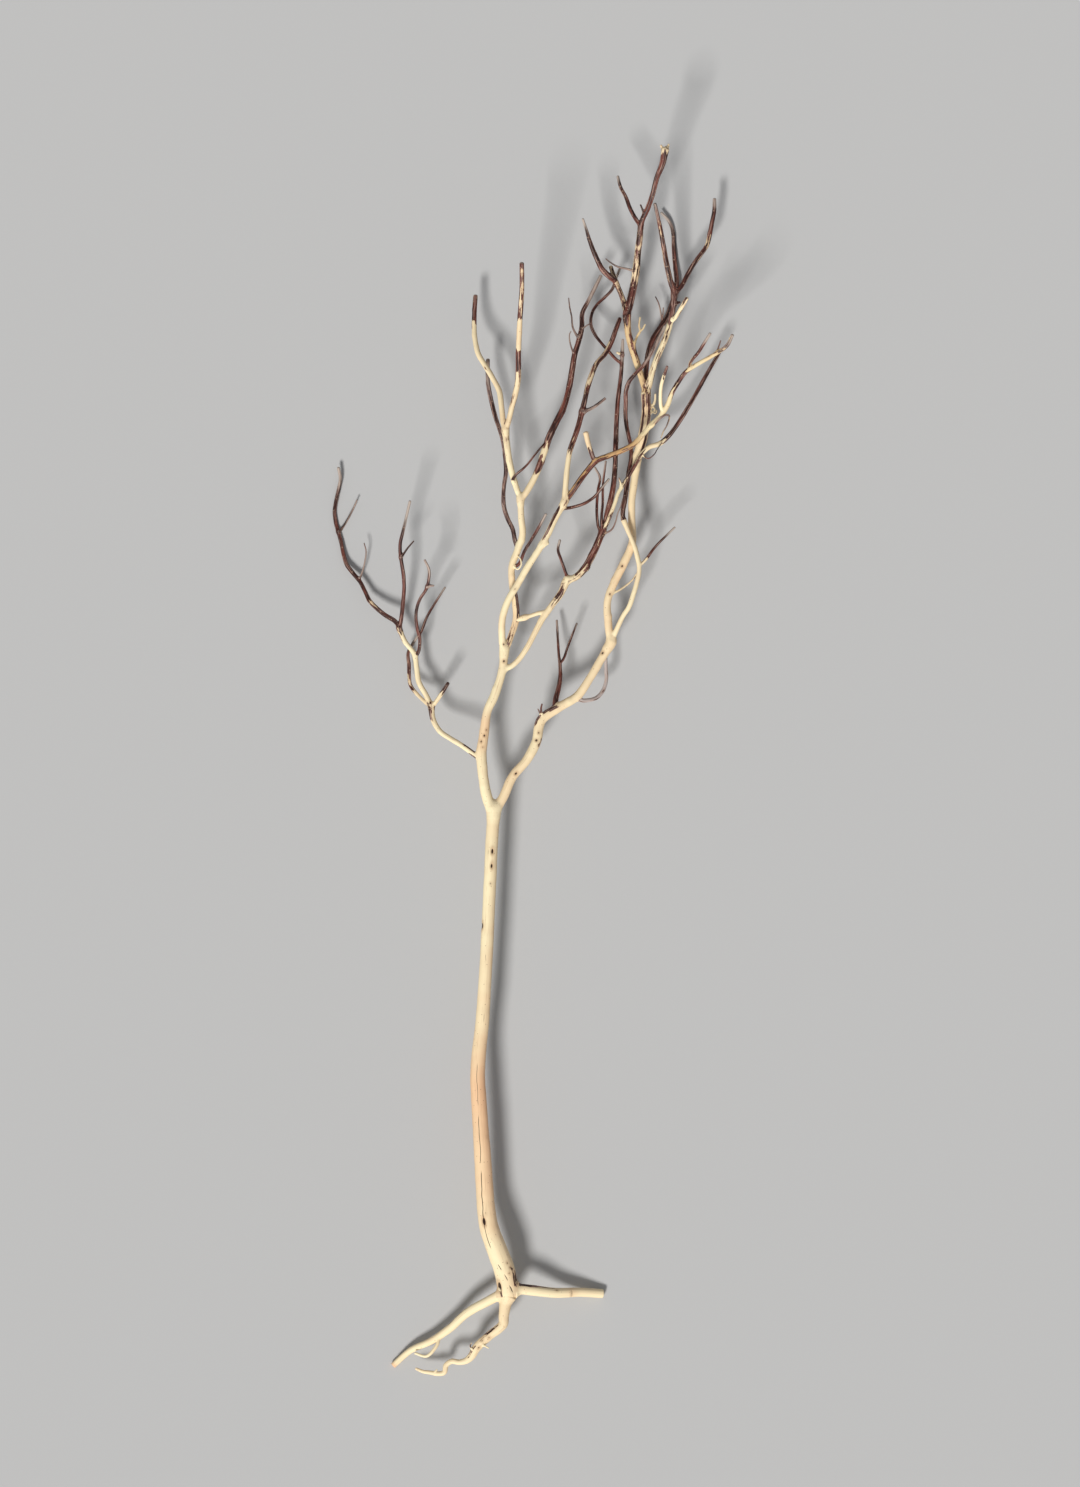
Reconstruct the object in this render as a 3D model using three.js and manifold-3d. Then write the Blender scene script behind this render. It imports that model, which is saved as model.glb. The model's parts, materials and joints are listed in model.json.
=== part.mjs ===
// A fallen tree branch: a stripped, dried stem with three roots, lying on the floor.
//
// Units are millimetres. X runs across the branch, Y from the root crown towards the twig tips, and Z up.
// Each stretch of wood between two forks is one solid. Its route is a short list of stations chosen along
// its middle, and each station is [x, y, height of the middle, diameter], measured from the root crown.

import * as THREE from 'three';
import { mergeVertices } from 'three/addons/utils/BufferGeometryUtils.js';
import Module from 'manifold-3d';

const wasm = await Module();
wasm.setup();

// ---------------------------------------------------------------- driving dimensions

const FORK_GAP = 0.3; // clearance between a limb and the wood it grows from
const TIP_BULGE = 0.35; // how far an end stands proud of its last ring, in radii
const RING_SPACING = 2.7; // distance between rings, in diameters
const SHORTEST_SPACING = 11;
const LONGEST_SPACING = 22;
const KINKED_SPACING = 7.6; // for a limb with sharp bends
const FEWEST_RINGS = 3;
const SIDES_BY_DIAMETER = [[12, 12], [7.6, 10], [4.9, 8], [0, 6]]; // [thicker than, sides]

const WOOD = {
  stripped: { color: '#ead9b3', roughness: 0.72 },
  tan: { color: '#c99a62', roughness: 0.74 },
  bark: { color: '#6a433a', roughness: 0.86 },
  weathered: { color: '#93867c', roughness: 0.88 },
};

// ---------------------------------------------------------------- roots and trunk

function trunkAndRoots() {
  return [
    {
      name: 'trunk', from: [], wood: 'stripped',
      route: [[-1, -2, 34, 20], [-7, 26, 36, 21.5], [-16, 48, 37, 20], [-22, 68, 38, 18.8],
        [-25, 100, 40, 17.8], [-28, 145, 42, 16.6], [-31, 190, 43, 15.2], [-32, 224, 44, 14.6],
        [-28, 265, 44, 13.8], [-24, 325, 45, 12.8], [-21, 385, 45, 12.5], [-18, 450, 46, 12.6],
        [-16, 482, 46, 12.8]],
    },
    {
      name: 'middle_root', from: ['trunk'], wood: 'stripped', kinked: true,
      route: [[-3, -3, 34, 13.6], [-6, -24, 34, 10.6], [-7, -34, 33, 10], [-20, -45, 31, 9],
        [-33, -57, 29, 9], [-40, -68, 27, 7.4], [-48, -72, 26, 5.6], [-62, -72, 24, 5.2],
        [-67, -84, 22, 5], [-76, -83, 20, 4.4], [-86, -82, 18, 3.6], [-94, -79, 16, 2.6]],
    },
    {
      name: 'right_root', from: ['trunk', 'middle_root'], wood: 'stripped',
      route: [[0, 1, 34, 12], [15, 1.5, 31, 11.5], [30, -1.5, 26, 10], [50, -3, 18, 10],
        [70, -2.5, 10.8, 9.2], [93, -4, 4.1, 9]],
    },
    {
      name: 'left_root', from: ['trunk', 'middle_root', 'right_root'], wood: 'stripped',
      route: [[-3, 0, 33, 11], [-10, -7, 32, 10], [-30, -14, 28, 9.5], [-50, -28.5, 22, 8.5],
        [-70, -47, 16, 7.5], [-90, -55.5, 10, 6.5], [-110, -68, 5, 6.3], [-117, -76, 3, 6]],
    },
    {
      name: 'left_rootlet', from: ['left_root'], wood: 'stripped',
      route: [[-71, -47, 17, 3.8], [-74, -56, 18, 3.6], [-79, -64, 18, 3.4], [-85, -66.5, 17, 3],
        [-95, -63.5, 15, 2.5]],
    },
  ];
}

// ---------------------------------------------------------------- centre limb

function centreLimb() {
  return [
    {
      name: 'centre_limb', from: ['trunk'], wood: 'stripped',
      route: [[-17, 474, 46, 10.4], [-22, 490, 47, 10.5], [-26, 510, 47.5, 10], [-28.5, 535, 48, 10.2],
        [-27, 550, 48, 10.2], [-24.5, 566, 48.5, 9.8], [-22.5, 580, 49, 8.8], [-16, 595, 49.5, 9],
        [-10, 609, 49.5, 8.5], [-6.5, 630, 50, 8.5], [-5.5, 641, 50, 8.5]],
    },
    {
      name: 'front_limb', from: ['centre_limb'], wood: 'stripped',
      route: [[-6, 637, 50, 6.8], [-7.5, 650, 53, 7], [-8, 662, 56, 7], [-5.5, 683, 60, 6.8],
        [4, 700, 62, 6.8], [15, 720, 64, 6.6], [28, 740, 66, 6.8], [38.5, 758, 67, 6.6],
        [49, 780, 68, 6.5], [54.5, 789, 68.5, 6.5]],
    },
    {
      name: 'front_long_shoot', from: ['front_limb'], wood: 'bark',
      route: [[54.5, 787, 68, 5.6], [57, 820, 70, 5.4], [60, 840, 70, 5.4], [67, 860, 68, 5.4],
        [73.5, 885, 64, 5.3], [79.5, 910, 58, 5.2], [88, 930, 51, 5], [97, 940, 46, 4.9],
        [105.3, 960, 40, 4.7], [110, 973, 36.5, 4.4]],
    },
    {
      name: 'front_crossing_shoot', from: ['front_limb', 'front_long_shoot'], wood: 'tan',
      route: [[54.5, 787, 68, 5.4], [62, 799, 69, 5.6], [74, 816, 69, 5.6], [86, 830, 68, 5.5],
        [103, 837, 67, 5.5], [121, 845, 66, 5.3], [127, 850, 66, 5.3], [141, 866, 67, 5.2],
        [155, 880, 70, 5], [158, 887, 72, 4.9], [162, 898, 76, 4.6], [172, 914, 84, 4.4],
        [177, 920, 88, 4.2], [197, 932, 98, 4], [217, 945, 110, 3.8], [222, 955, 116, 3.4]],
    },
    {
      name: 'crossing_upright_twig', from: ['front_crossing_shoot'], wood: 'stripped',
      route: [[150, 876, 69, 4], [151, 890, 75, 3.8], [150.5, 900, 80, 3.6], [153, 912, 87, 3.4],
        [157, 924, 95, 2.8]],
    },
    {
      name: 'crossing_tip_twig', from: ['front_crossing_shoot'], wood: 'bark',
      route: [[177, 919.5, 88, 3], [180, 928, 90, 3], [186, 935, 92, 3.2], [200, 957, 98, 3]],
    },
    {
      name: 'crossing_stub', from: ['front_crossing_shoot'], wood: 'stripped',
      route: [[86, 829, 68, 4], [80, 842, 68, 4.4], [76, 858, 69, 5.4]],
    },
    {
      name: 'front_side_twig', from: ['front_limb'], wood: 'bark',
      route: [[52, 783, 68, 3.4], [58, 783, 67, 3.4], [75, 788, 65, 3.3], [83, 793, 64, 3],
        [94, 806, 62, 2.8], [99, 812, 61, 2.4]],
    },
    {
      name: 'rear_limb', from: ['centre_limb', 'front_limb'], wood: 'stripped',
      route: [[-5, 638, 49.5, 5.4], [-1, 650, 49, 6], [3, 660, 48, 7], [7, 680, 47, 7.2],
        [3, 700, 47, 7], [2, 728, 47, 6.7], [2.5, 735, 47, 6.8], [11, 745, 48, 6.8],
        [12.6, 755, 49, 6.6], [10.5, 785, 50, 6.2], [10.5, 793, 50, 6.2]],
    },
    {
      name: 'rear_fork', from: ['rear_limb'], wood: 'stripped',
      route: [[10.5, 791, 50, 5.8], [4.5, 810, 51, 6.3], [-0.5, 830, 52, 6.3], [-4.5, 861, 52, 6.4]],
    },
    {
      name: 'rear_left_shoot', from: ['rear_fork'], wood: 'bark',
      route: [[-5, 857, 52, 5.4], [-8, 880, 50, 5.6], [-10.5, 900, 46, 5.8], [-21, 920, 42, 5.6],
        [-32.5, 940, 37, 5.4], [-35.5, 960, 32, 5], [-35.5, 980, 28, 4.8], [-34.5, 996, 25, 4.5]],
    },
    {
      name: 'rear_right_shoot', from: ['rear_fork', 'rear_left_shoot'], wood: 'bark',
      route: [[-4.5, 857, 52, 5.2], [1, 880, 57, 5.4], [8, 910, 68, 5.5], [8.5, 935, 80, 5.5],
        [10, 970, 98, 5.3], [12, 1000, 114, 5], [12, 1026, 127, 4.6]],
    },
    {
      name: 'rear_under_shoot', from: ['rear_limb'], wood: 'weathered',
      route: [[6, 740, 47, 4.2], [3.5, 760, 42, 4.4], [-5, 780, 38, 4.4], [-6.5, 800, 36, 4.3],
        [-4, 820, 35, 4.2], [-7, 850, 34, 4.2], [-16, 880, 33, 4.4], [-22, 910, 31, 4.4],
        [-22, 932, 29, 4]],
    },
    {
      name: 'rear_slim_shoot', from: ['rear_limb'], wood: 'bark',
      route: [[2.5, 722, 47, 3], [9, 727, 49, 3.2], [14, 739, 52, 3.3], [25, 757, 57, 3.2],
        [36, 777, 63, 2.8]],
    },
    {
      name: 'rear_straight_shoot', from: ['rear_limb', 'rear_fork'], wood: 'bark',
      route: [[10.5, 790, 50, 5.6], [17, 800, 51, 6], [27.5, 820, 52, 6.4], [34.5, 840, 53, 6.8],
        [41.7, 860, 54, 6.8], [52, 880, 54, 6.4], [58.5, 900, 53, 6.2], [62, 920, 51, 6],
        [65.5, 940, 47, 5.6], [71.5, 960, 43, 5], [73.3, 983, 38, 4.6], [78, 990, 36, 4],
        [88, 1010, 32, 3.6], [91, 1016, 31, 3.2]],
    },
  ];
}

// ---------------------------------------------------------------- left limb

function leftLimb() {
  return [
    {
      name: 'left_limb', from: ['centre_limb'], wood: 'stripped',
      route: [[-28, 526, 48, 6], [-37, 538, 45, 5.2], [-50, 547, 41, 5], [-70, 560, 34, 5],
        [-77, 572, 31, 5.4], [-79, 586, 29, 6]],
    },
    {
      name: 'left_shoot', from: ['left_limb'], wood: 'stripped',
      route: [[-79, 583, 29.5, 5.2], [-82, 593, 27, 5.2], [-89, 604, 26, 5.2], [-94, 620, 25, 5],
        [-92.5, 632, 25, 5.2], [-103, 646, 24, 5], [-111, 663, 22, 5]],
    },
    {
      name: 'left_outer_leader', from: ['left_shoot'], wood: 'bark',
      route: [[-110.5, 661, 22, 4.4], [-115, 670, 21, 4.5], [-123, 675, 19, 4.5], [-140, 690, 14, 4.3],
        [-149, 708, 10, 4.2], [-164, 728, 5.5, 4.2], [-169, 748, 3, 4], [-176, 779, 1.9, 3.8],
        [-172, 802, 3.5, 3.5], [-170, 816, 6, 3.2], [-172, 824, 8, 3]],
    },
    {
      name: 'left_inner_leader', from: ['left_shoot', 'left_outer_leader'], wood: 'bark',
      route: [[-110.5, 661, 22, 4.2], [-107, 690, 28, 4.2], [-106, 710, 33, 4], [-110, 745, 42, 3.5],
        [-106, 764, 48, 3.2], [-100, 790, 57, 2.6]],
    },
    {
      name: 'left_fork_shoot', from: ['left_shoot'], wood: 'bark',
      route: [[-93, 631, 25, 3.6], [-91, 642, 27, 3.6], [-90, 650, 29, 3.5], [-94, 670, 36, 3.4],
        [-92, 688, 43, 3.2], [-83, 704, 50, 3], [-81, 722, 58, 2.8], [-85, 731, 62, 2.4]],
    },
    {
      name: 'left_fork_twig', from: ['left_fork_shoot'], wood: 'bark',
      route: [[-90.5, 651, 29, 2.8], [-86, 668, 30, 2.8], [-80, 680, 31, 2.6], [-65, 704, 32, 2.2]],
    },
    {
      name: 'left_under_shoot', from: ['left_limb', 'left_shoot'], wood: 'bark',
      route: [[-80, 585, 28.5, 3.4], [-92, 596, 21, 3.6], [-100, 607, 17, 3.8], [-101, 625, 16, 3.8],
        [-102, 638, 16, 3.4], [-96, 650, 17.5, 3], [-92, 656, 19, 2.6]],
    },
    {
      name: 'left_spur', from: ['left_limb', 'left_shoot'], wood: 'stripped',
      route: [[-78, 581, 30, 4], [-72, 593, 32, 4.2], [-67, 600, 34, 4.2], [-62, 608, 36, 3.6]],
    },
  ];
}

// ---------------------------------------------------------------- mid limb

function midLimb() {
  return [
    {
      name: 'mid_limb', from: ['centre_limb'], wood: 'stripped',
      route: [[-11, 606, 49.5, 4.6], [-5, 615, 50, 5], [2, 623, 50.5, 5], [18, 645, 52, 5.6],
        [31, 670, 53, 6], [45, 690, 54, 6.4], [52, 700, 54.5, 7], [57.5, 713, 55, 7]],
    },
    {
      name: 'bridge_twig', from: ['mid_limb'], wood: 'stripped',
      route: [[38, 681, 53.5, 4], [31, 679, 52.5, 4], [22, 676, 51, 4], [11.7, 673, 49, 3.8]],
    },
    {
      name: 'mid_elbow', from: ['mid_limb'], wood: 'bark',
      route: [[57, 711, 55, 6.6], [65, 718, 55, 6.8], [75, 723, 55, 7.2], [78, 729, 54.5, 7.2],
        [83, 738, 54, 7], [89, 750, 53, 7], [93, 761, 52.5, 7]],
    },
    {
      name: 'mid_curled_twig', from: ['mid_limb', 'mid_elbow'], wood: 'bark',
      route: [[57, 714, 55, 3], [53, 727, 57, 3], [49, 738, 58, 2.9], [48, 745, 59, 2.8],
        [50, 751, 60, 2.4]],
    },
    {
      name: 'mid_slender_shoot', from: ['mid_elbow'], wood: 'stripped',
      route: [[93, 758, 54, 4.2], [100, 775, 56, 4], [104, 785, 55.5, 3.8], [110, 802, 54, 3.6],
        [117, 812, 52, 3.8], [123, 823, 50, 4], [130, 834, 48.5, 4.2], [135, 842, 47.5, 4.6],
        [144, 846, 46.5, 4.8], [152, 849, 45.5, 4.8], [164, 862, 43, 4.6], [180, 887, 40, 4.4],
        [194, 912, 37, 4.2], [206, 933, 34, 3.8], [210, 940, 33, 3.4]],
    },
    {
      name: 'mid_dark_shoot', from: ['mid_elbow', 'mid_slender_shoot'], wood: 'bark',
      route: [[92.5, 758, 51.5, 5.2], [98, 780, 50, 5.8], [102.6, 800, 49, 5.6], [105, 820, 48, 5.2],
        [106, 850, 46, 5], [108, 890, 44, 4.6], [111.5, 920, 42, 4.2], [112.5, 940, 40, 3.6],
        [113, 952, 39, 2.6]],
    },
    {
      name: 'mid_dark_curl', from: ['mid_dark_shoot'], wood: 'bark',
      route: [[111.5, 926, 41.5, 3], [103, 936, 37, 3.2], [94, 946, 33, 3.2], [86, 956, 29, 3.2],
        [81, 968, 26, 3.2], [82, 978, 25, 3], [87, 987, 24.5, 3], [102, 1002, 24, 3],
        [106, 1013, 24, 2.8], [110, 1023, 24, 2.4]],
    },
    {
      name: 'mid_left_strand', from: ['mid_elbow', 'mid_dark_shoot'], wood: 'bark',
      route: [[91, 756, 52.5, 3], [87.5, 770, 50, 3], [87, 785, 48, 2.9], [88, 800, 47, 2.8],
        [90, 815, 47, 2.6], [85, 824, 48, 2.3]],
    },
    {
      name: 'mid_right_strand', from: ['mid_elbow', 'mid_slender_shoot', 'mid_dark_shoot'], wood: 'bark',
      route: [[92, 757, 53.5, 2.8], [91.5, 772, 57, 2.8], [93, 790, 57, 2.8], [93, 805, 57, 2.6],
        [96, 830, 57, 2.2]],
    },
  ];
}

// ---------------------------------------------------------------- right limb

function rightLimb() {
  return [
    {
      name: 'right_limb', from: ['trunk', 'centre_limb'], wood: 'stripped',
      route: [[-15, 475, 46, 9.4], [-8, 491, 46, 9.5], [-4, 500, 46, 9.8], [6, 520, 45.5, 9.4],
        [24, 540, 45, 9.2], [27.5, 556, 44.5, 9.6], [30, 569, 44, 10], [38, 576.5, 43.5, 10],
        [50, 584.5, 43, 8.8], [70, 597.5, 42, 8.8], [84, 620, 41, 8], [90, 630, 40.5, 8],
        [96.5, 640, 40, 9], [102, 650, 40, 9.8]],
    },
    {
      name: 'hanging_shoot', from: ['right_limb'], wood: 'bark',
      route: [[47, 583, 43, 5.6], [46, 592, 39, 5.6], [48, 600, 35, 5], [50, 610, 31, 4.2],
        [50.5, 622, 27, 3.8], [49, 637, 22, 2.8], [47, 671, 13, 2.2]],
    },
    {
      name: 'hanging_tine', from: ['hanging_shoot'], wood: 'bark',
      route: [[50.5, 622, 27, 2.8], [53, 630, 26, 2.6], [57, 642, 25, 2.5], [67, 668, 24, 2]],
    },
    {
      name: 'loop_twig', from: ['right_limb'], wood: 'weathered',
      route: [[70, 597, 42, 4], [78, 591, 38, 4], [86, 593, 34, 4], [92, 599, 31, 3.9],
        [96, 607, 29, 3.8], [96.3, 620, 28, 3.6], [96, 633, 28, 3.4]],
    },
    {
      name: 'upper_limb', from: ['right_limb'], wood: 'stripped',
      route: [[101.5, 648, 40, 8], [100.5, 660, 40, 7.6], [96.3, 680, 40, 8], [97.7, 690, 39.5, 7.5],
        [105, 710, 39, 8], [115, 730, 38.5, 8.5], [121.5, 741, 38, 7.6], [122, 770, 37, 7.2],
        [122, 790, 37, 7.3], [124.5, 810, 36.5, 7.7], [127, 830, 36, 9], [132, 850, 36, 9.5],
        [136, 870, 36, 10], [136.5, 890, 36, 9.4], [136.3, 897, 36, 9.2]],
    },
    {
      name: 'wandering_shoot', from: ['right_limb', 'upper_limb'], wood: 'stripped',
      route: [[103, 651, 40, 4.6], [107, 662, 43, 4.8], [112, 673, 45, 4.8], [118, 682, 47, 4.8],
        [122, 692, 48, 4.7], [128, 713, 48, 4.7], [129.5, 723, 48, 4.7], [127, 737, 47.5, 4.6],
        [124, 747, 47, 4.6], [118, 761, 47, 4.6], [114, 771, 47, 4.8]],
    },
    {
      name: 'wandering_twig', from: ['wandering_shoot'], wood: 'bark',
      route: [[129, 727, 48, 2.8], [137, 733, 48, 2.8], [145, 744, 47, 2.6], [165, 764, 45, 2]],
    },
    {
      name: 'wandering_dark_shoot', from: ['wandering_shoot'], wood: 'bark',
      route: [[115, 769, 47, 4.2], [113, 782, 44, 4.6], [115, 790, 42, 4.8], [117, 805, 38, 4.6],
        [119, 820, 35, 4.4], [121.7, 840, 33, 4.2], [119, 855, 32.5, 4.2], [116, 872, 33, 4.4],
        [116, 890, 36, 4.4], [117, 905, 41, 4.2], [123, 915, 46, 4], [130, 922, 49, 3.8],
        [138, 932, 49.5, 3.8], [144, 943, 49, 3.7], [149, 953, 48, 3.6], [155, 965, 47, 3.2]],
    },
    {
      name: 'top_shoot', from: ['upper_limb'], wood: 'stripped',
      route: [[137.5, 892, 36, 6.6], [140, 910, 36.5, 6.2], [145.8, 930, 37, 6.2],
        [154.5, 950, 38, 6.3], [160.5, 970, 38, 6.2], [164, 990, 38, 6.2], [165, 1001, 38, 6.2]],
    },
    {
      name: 'top_left_leader', from: ['top_shoot'], wood: 'bark',
      route: [[164.8, 998, 38, 5.6], [161, 1010, 41, 5.6], [156.5, 1030, 47, 5.2],
        [153, 1050, 54, 4.8], [149, 1070, 63, 4.2], [145, 1087, 72, 3.2]],
    },
    {
      name: 'top_right_leader', from: ['top_shoot', 'top_left_leader'], wood: 'bark',
      route: [[165.2, 996, 38, 5], [170, 1003, 38, 4.8], [175, 1012, 37, 4.7], [186, 1031, 35, 4.6],
        [197, 1046, 32, 4.5], [201.5, 1065, 29, 4.3], [205, 1084, 26, 4.1], [205, 1093, 25, 3.6]],
    },
    {
      name: 'top_side_twig', from: ['top_shoot'], wood: 'stripped',
      route: [[160, 966, 38, 4], [165, 973, 42, 4], [170, 981, 48, 4], [177, 993, 56, 3.8]],
    },
    {
      name: 'left_top_shoot', from: ['upper_limb', 'top_shoot'], wood: 'tan',
      route: [[136, 892, 36, 6], [133, 910, 36.5, 6], [126.7, 930, 37.5, 7], [120.5, 950, 39, 7.4],
        [118.3, 960, 39.5, 7], [117, 976, 40, 7]],
    },
    {
      name: 'tall_leader', from: ['left_top_shoot'], wood: 'bark',
      route: [[117, 973, 40, 6.6], [120.5, 990, 41, 7.6], [122, 1000, 42, 7.6], [125, 1010, 43, 7.4],
        [127, 1030, 49, 7], [129.5, 1050, 56, 6.3], [132, 1070, 65, 5.6], [141, 1090, 74, 5],
        [146, 1110, 84, 5.2], [153.5, 1130, 94, 6.2], [155.5, 1141, 100, 7]],
    },
    {
      name: 'tall_leader_twig', from: ['tall_leader'], wood: 'bark',
      route: [[131, 1063, 61.5, 4.2], [126, 1072, 62, 4.2], [118, 1088, 61, 4], [115, 1097, 59, 3.6],
        [110, 1106, 57, 3.4], [108, 1115, 54, 2.8]],
    },
    {
      name: 'short_leader', from: ['left_top_shoot', 'tall_leader'], wood: 'bark',
      route: [[116.5, 973, 40, 4.8], [114, 990, 38, 5], [110.3, 1000, 37, 5], [106, 1010, 36, 5],
        [101.5, 1020, 35, 4.8], [101, 1025, 34.5, 4.2]],
    },
    {
      name: 'short_leader_fork', from: ['short_leader'], wood: 'bark',
      route: [[107, 1007, 36.5, 4.6], [100, 1015, 41.5, 5.6], [94, 1020, 44, 5.8], [86, 1035, 49, 5],
        [80, 1050, 55, 4], [77, 1060, 60, 3.2], [73, 1072, 67, 2.4]],
    },
    {
      name: 'rear_top_shoot', from: ['upper_limb', 'top_shoot', 'left_top_shoot'], wood: 'bark',
      route: [[137, 894, 35, 5.6], [136, 915, 28, 5.4], [138, 935, 22, 5.6], [142, 950, 19, 5.8],
        [149, 962, 17, 5.8], [156, 972, 14, 5.6], [161, 985, 11, 5.2], [167, 1006, 7, 5],
        [165.5, 1030, 3.6, 4.6], [164, 1050, 2.1, 4.2], [162.5, 1067, 2.6, 3.6],
        [157, 1074, 4, 3], [152, 1080, 5.5, 2.6]],
    },
  ];
}

// ---------------------------------------------------------------- growing one limb

function between(values, place) {
  const lower = Math.min(Math.floor(place), values.length - 2);
  return THREE.MathUtils.lerp(values[lower], values[lower + 1], place - lower);
}

// A limb is turned as a straight tapering spindle, with a low cone on each end, and bent along its route.
function limbGeometry({ route, kinked = false }, extraRadius) {
  const curve = new THREE.CatmullRomCurve3(
    route.map(([x, y, z]) => new THREE.Vector3(x, y, z)), false, 'centripetal');
  const diameters = route.map((station) => station[3]);
  const meanDiameter = diameters.reduce((sum, d) => sum + d, 0) / diameters.length;
  const sides = SIDES_BY_DIAMETER.find(([limit]) => meanDiameter > limit)[1];
  const spacing = kinked ? KINKED_SPACING
    : THREE.MathUtils.clamp(RING_SPACING * meanDiameter, SHORTEST_SPACING, LONGEST_SPACING);
  const steps = Math.max(FEWEST_RINGS, Math.round(curve.getLength() / spacing));
  const frames = curve.computeFrenetFrames(steps, false);

  const stations = [];
  for (let i = 0; i <= steps; i += 1) {
    const place = curve.getUtoTmapping(i / steps) * (route.length - 1);
    stations.push({
      centre: curve.getPointAt(i / steps),
      radius: between(diameters, place) / 2 + extraRadius,
      frame: i,
    });
  }
  const base = endStation(stations[0], frames, -1);
  const tip = endStation(stations[steps], frames, 1);
  stations.unshift(base);
  stations.push(tip);

  const profile = stations.map(({ radius }, index) => new THREE.Vector2(radius, index));
  const geometry = new THREE.LatheGeometry(profile, sides);
  const position = geometry.getAttribute('position');
  const vertex = new THREE.Vector3();
  for (let i = 0; i < position.count; i += 1) {
    const { centre, frame } = stations[Math.round(position.getY(i))];
    vertex.copy(centre);
    vertex.addScaledVector(frames.binormals[frame], position.getX(i));
    vertex.addScaledVector(frames.normals[frame], position.getZ(i));
    position.setXYZ(i, vertex.x, vertex.y, vertex.z);
  }
  return geometry;
}

function endStation({ centre, radius, frame }, frames, side) {
  const apex = centre.clone().addScaledVector(frames.tangents[frame], side * TIP_BULGE * radius);
  return { centre: apex, radius: 0, frame };
}

function toSolid(geometry) {
  geometry.deleteAttribute('normal');
  geometry.deleteAttribute('uv');
  const closed = mergeVertices(geometry);
  return new wasm.Manifold(new wasm.Mesh({
    numProp: 3,
    vertProperties: new Float32Array(closed.getAttribute('position').array),
    triVerts: new Uint32Array(closed.getIndex().array),
  }));
}

function toGeometry(solid) {
  const mesh = solid.getMesh();
  const geometry = new THREE.BufferGeometry();
  geometry.setAttribute('position', new THREE.BufferAttribute(mesh.vertProperties, 3));
  geometry.setIndex(new THREE.BufferAttribute(mesh.triVerts, 1));
  geometry.computeVertexNormals();
  return geometry;
}

// The wood that a limb grows from is cut out of its foot, and only the largest piece is kept.
function growLimb(limb, limbsByName) {
  let solid = toSolid(limbGeometry(limb, 0));
  for (const neighbour of limb.from) {
    solid = solid.subtract(toSolid(limbGeometry(limbsByName.get(neighbour), FORK_GAP)));
  }
  const pieces = solid.decompose();
  pieces.sort((a, b) => b.volume() - a.volume());
  const mesh = new THREE.Mesh(
    toGeometry(pieces[0]), new THREE.MeshStandardMaterial({ ...WOOD[limb.wood], metalness: 0 }));
  mesh.name = limb.name;
  return mesh;
}

// ---------------------------------------------------------------- the whole branch

const limbs = [
  ...trunkAndRoots(), ...centreLimb(), ...leftLimb(), ...midLimb(), ...rightLimb(),
];
const limbsByName = new Map(limbs.map((limb) => [limb.name, limb]));

const branch = new THREE.Group();
for (const limb of limbs) {
  branch.add(growLimb(limb, limbsByName));
}

// The origin goes under the middle of the branch, on the floor.
const box = new THREE.Box3().setFromObject(branch, true);
const middle = box.getCenter(new THREE.Vector3());
branch.position.set(-middle.x, -middle.y, -box.min.z);

export default branch;
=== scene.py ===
"""Looks of a fallen, stripped tree branch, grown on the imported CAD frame.

Every CAD limb is read back as a centreline with a girth, swept again as a fine tube, given soft fork
collars, knots, cracks and small twigs, and finished as bare wood or bark. Lengths are in metres unless a
name ends in _mm. The branch lies on its back: +Y runs from the roots to the crown and +Z is up.
"""

import itertools
import json
import logging
import math
from dataclasses import dataclass, field
from enum import Enum
from typing import Iterable, Sequence, Union

import bpy
import numpy as np
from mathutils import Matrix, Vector

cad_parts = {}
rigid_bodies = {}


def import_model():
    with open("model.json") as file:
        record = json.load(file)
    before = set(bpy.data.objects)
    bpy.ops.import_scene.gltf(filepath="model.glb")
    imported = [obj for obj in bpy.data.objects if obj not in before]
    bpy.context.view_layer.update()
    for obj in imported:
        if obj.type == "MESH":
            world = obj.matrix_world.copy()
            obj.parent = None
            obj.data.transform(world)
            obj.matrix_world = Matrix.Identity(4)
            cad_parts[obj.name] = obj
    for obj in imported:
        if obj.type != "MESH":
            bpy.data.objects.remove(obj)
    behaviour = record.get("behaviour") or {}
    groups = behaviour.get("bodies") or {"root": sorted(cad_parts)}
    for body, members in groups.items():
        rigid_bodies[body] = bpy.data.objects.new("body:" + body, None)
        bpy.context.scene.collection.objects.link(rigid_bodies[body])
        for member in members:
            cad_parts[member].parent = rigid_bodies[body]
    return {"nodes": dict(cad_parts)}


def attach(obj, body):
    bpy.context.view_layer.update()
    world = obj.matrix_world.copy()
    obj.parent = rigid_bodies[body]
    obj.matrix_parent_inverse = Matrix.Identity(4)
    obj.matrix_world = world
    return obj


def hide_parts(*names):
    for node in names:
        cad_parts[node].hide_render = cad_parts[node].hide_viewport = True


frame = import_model()

LOG = logging.getLogger("fallen_branch")
MM = 0.001
SEED = 20417
FAR_MM = 99.0
UP = (0.0, 0.0, 1.0)
Point = tuple[float, float, float]
Stops = tuple[tuple[float, float], ...]


class Wood(Enum):
    """Material slots of the record."""

    STRIPPED = "stripped"
    TAN = "tan"
    BARK = "bark"
    WEATHERED = "weathered"


class End(Enum):
    """How a limb ends: the value is how far the end stands out, in radii."""

    ROUNDED = 0.7
    CUT = 0.12


# ---------------------------------------------------------------------------------------------------------
# What is grown: plain descriptions
# ---------------------------------------------------------------------------------------------------------


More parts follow.
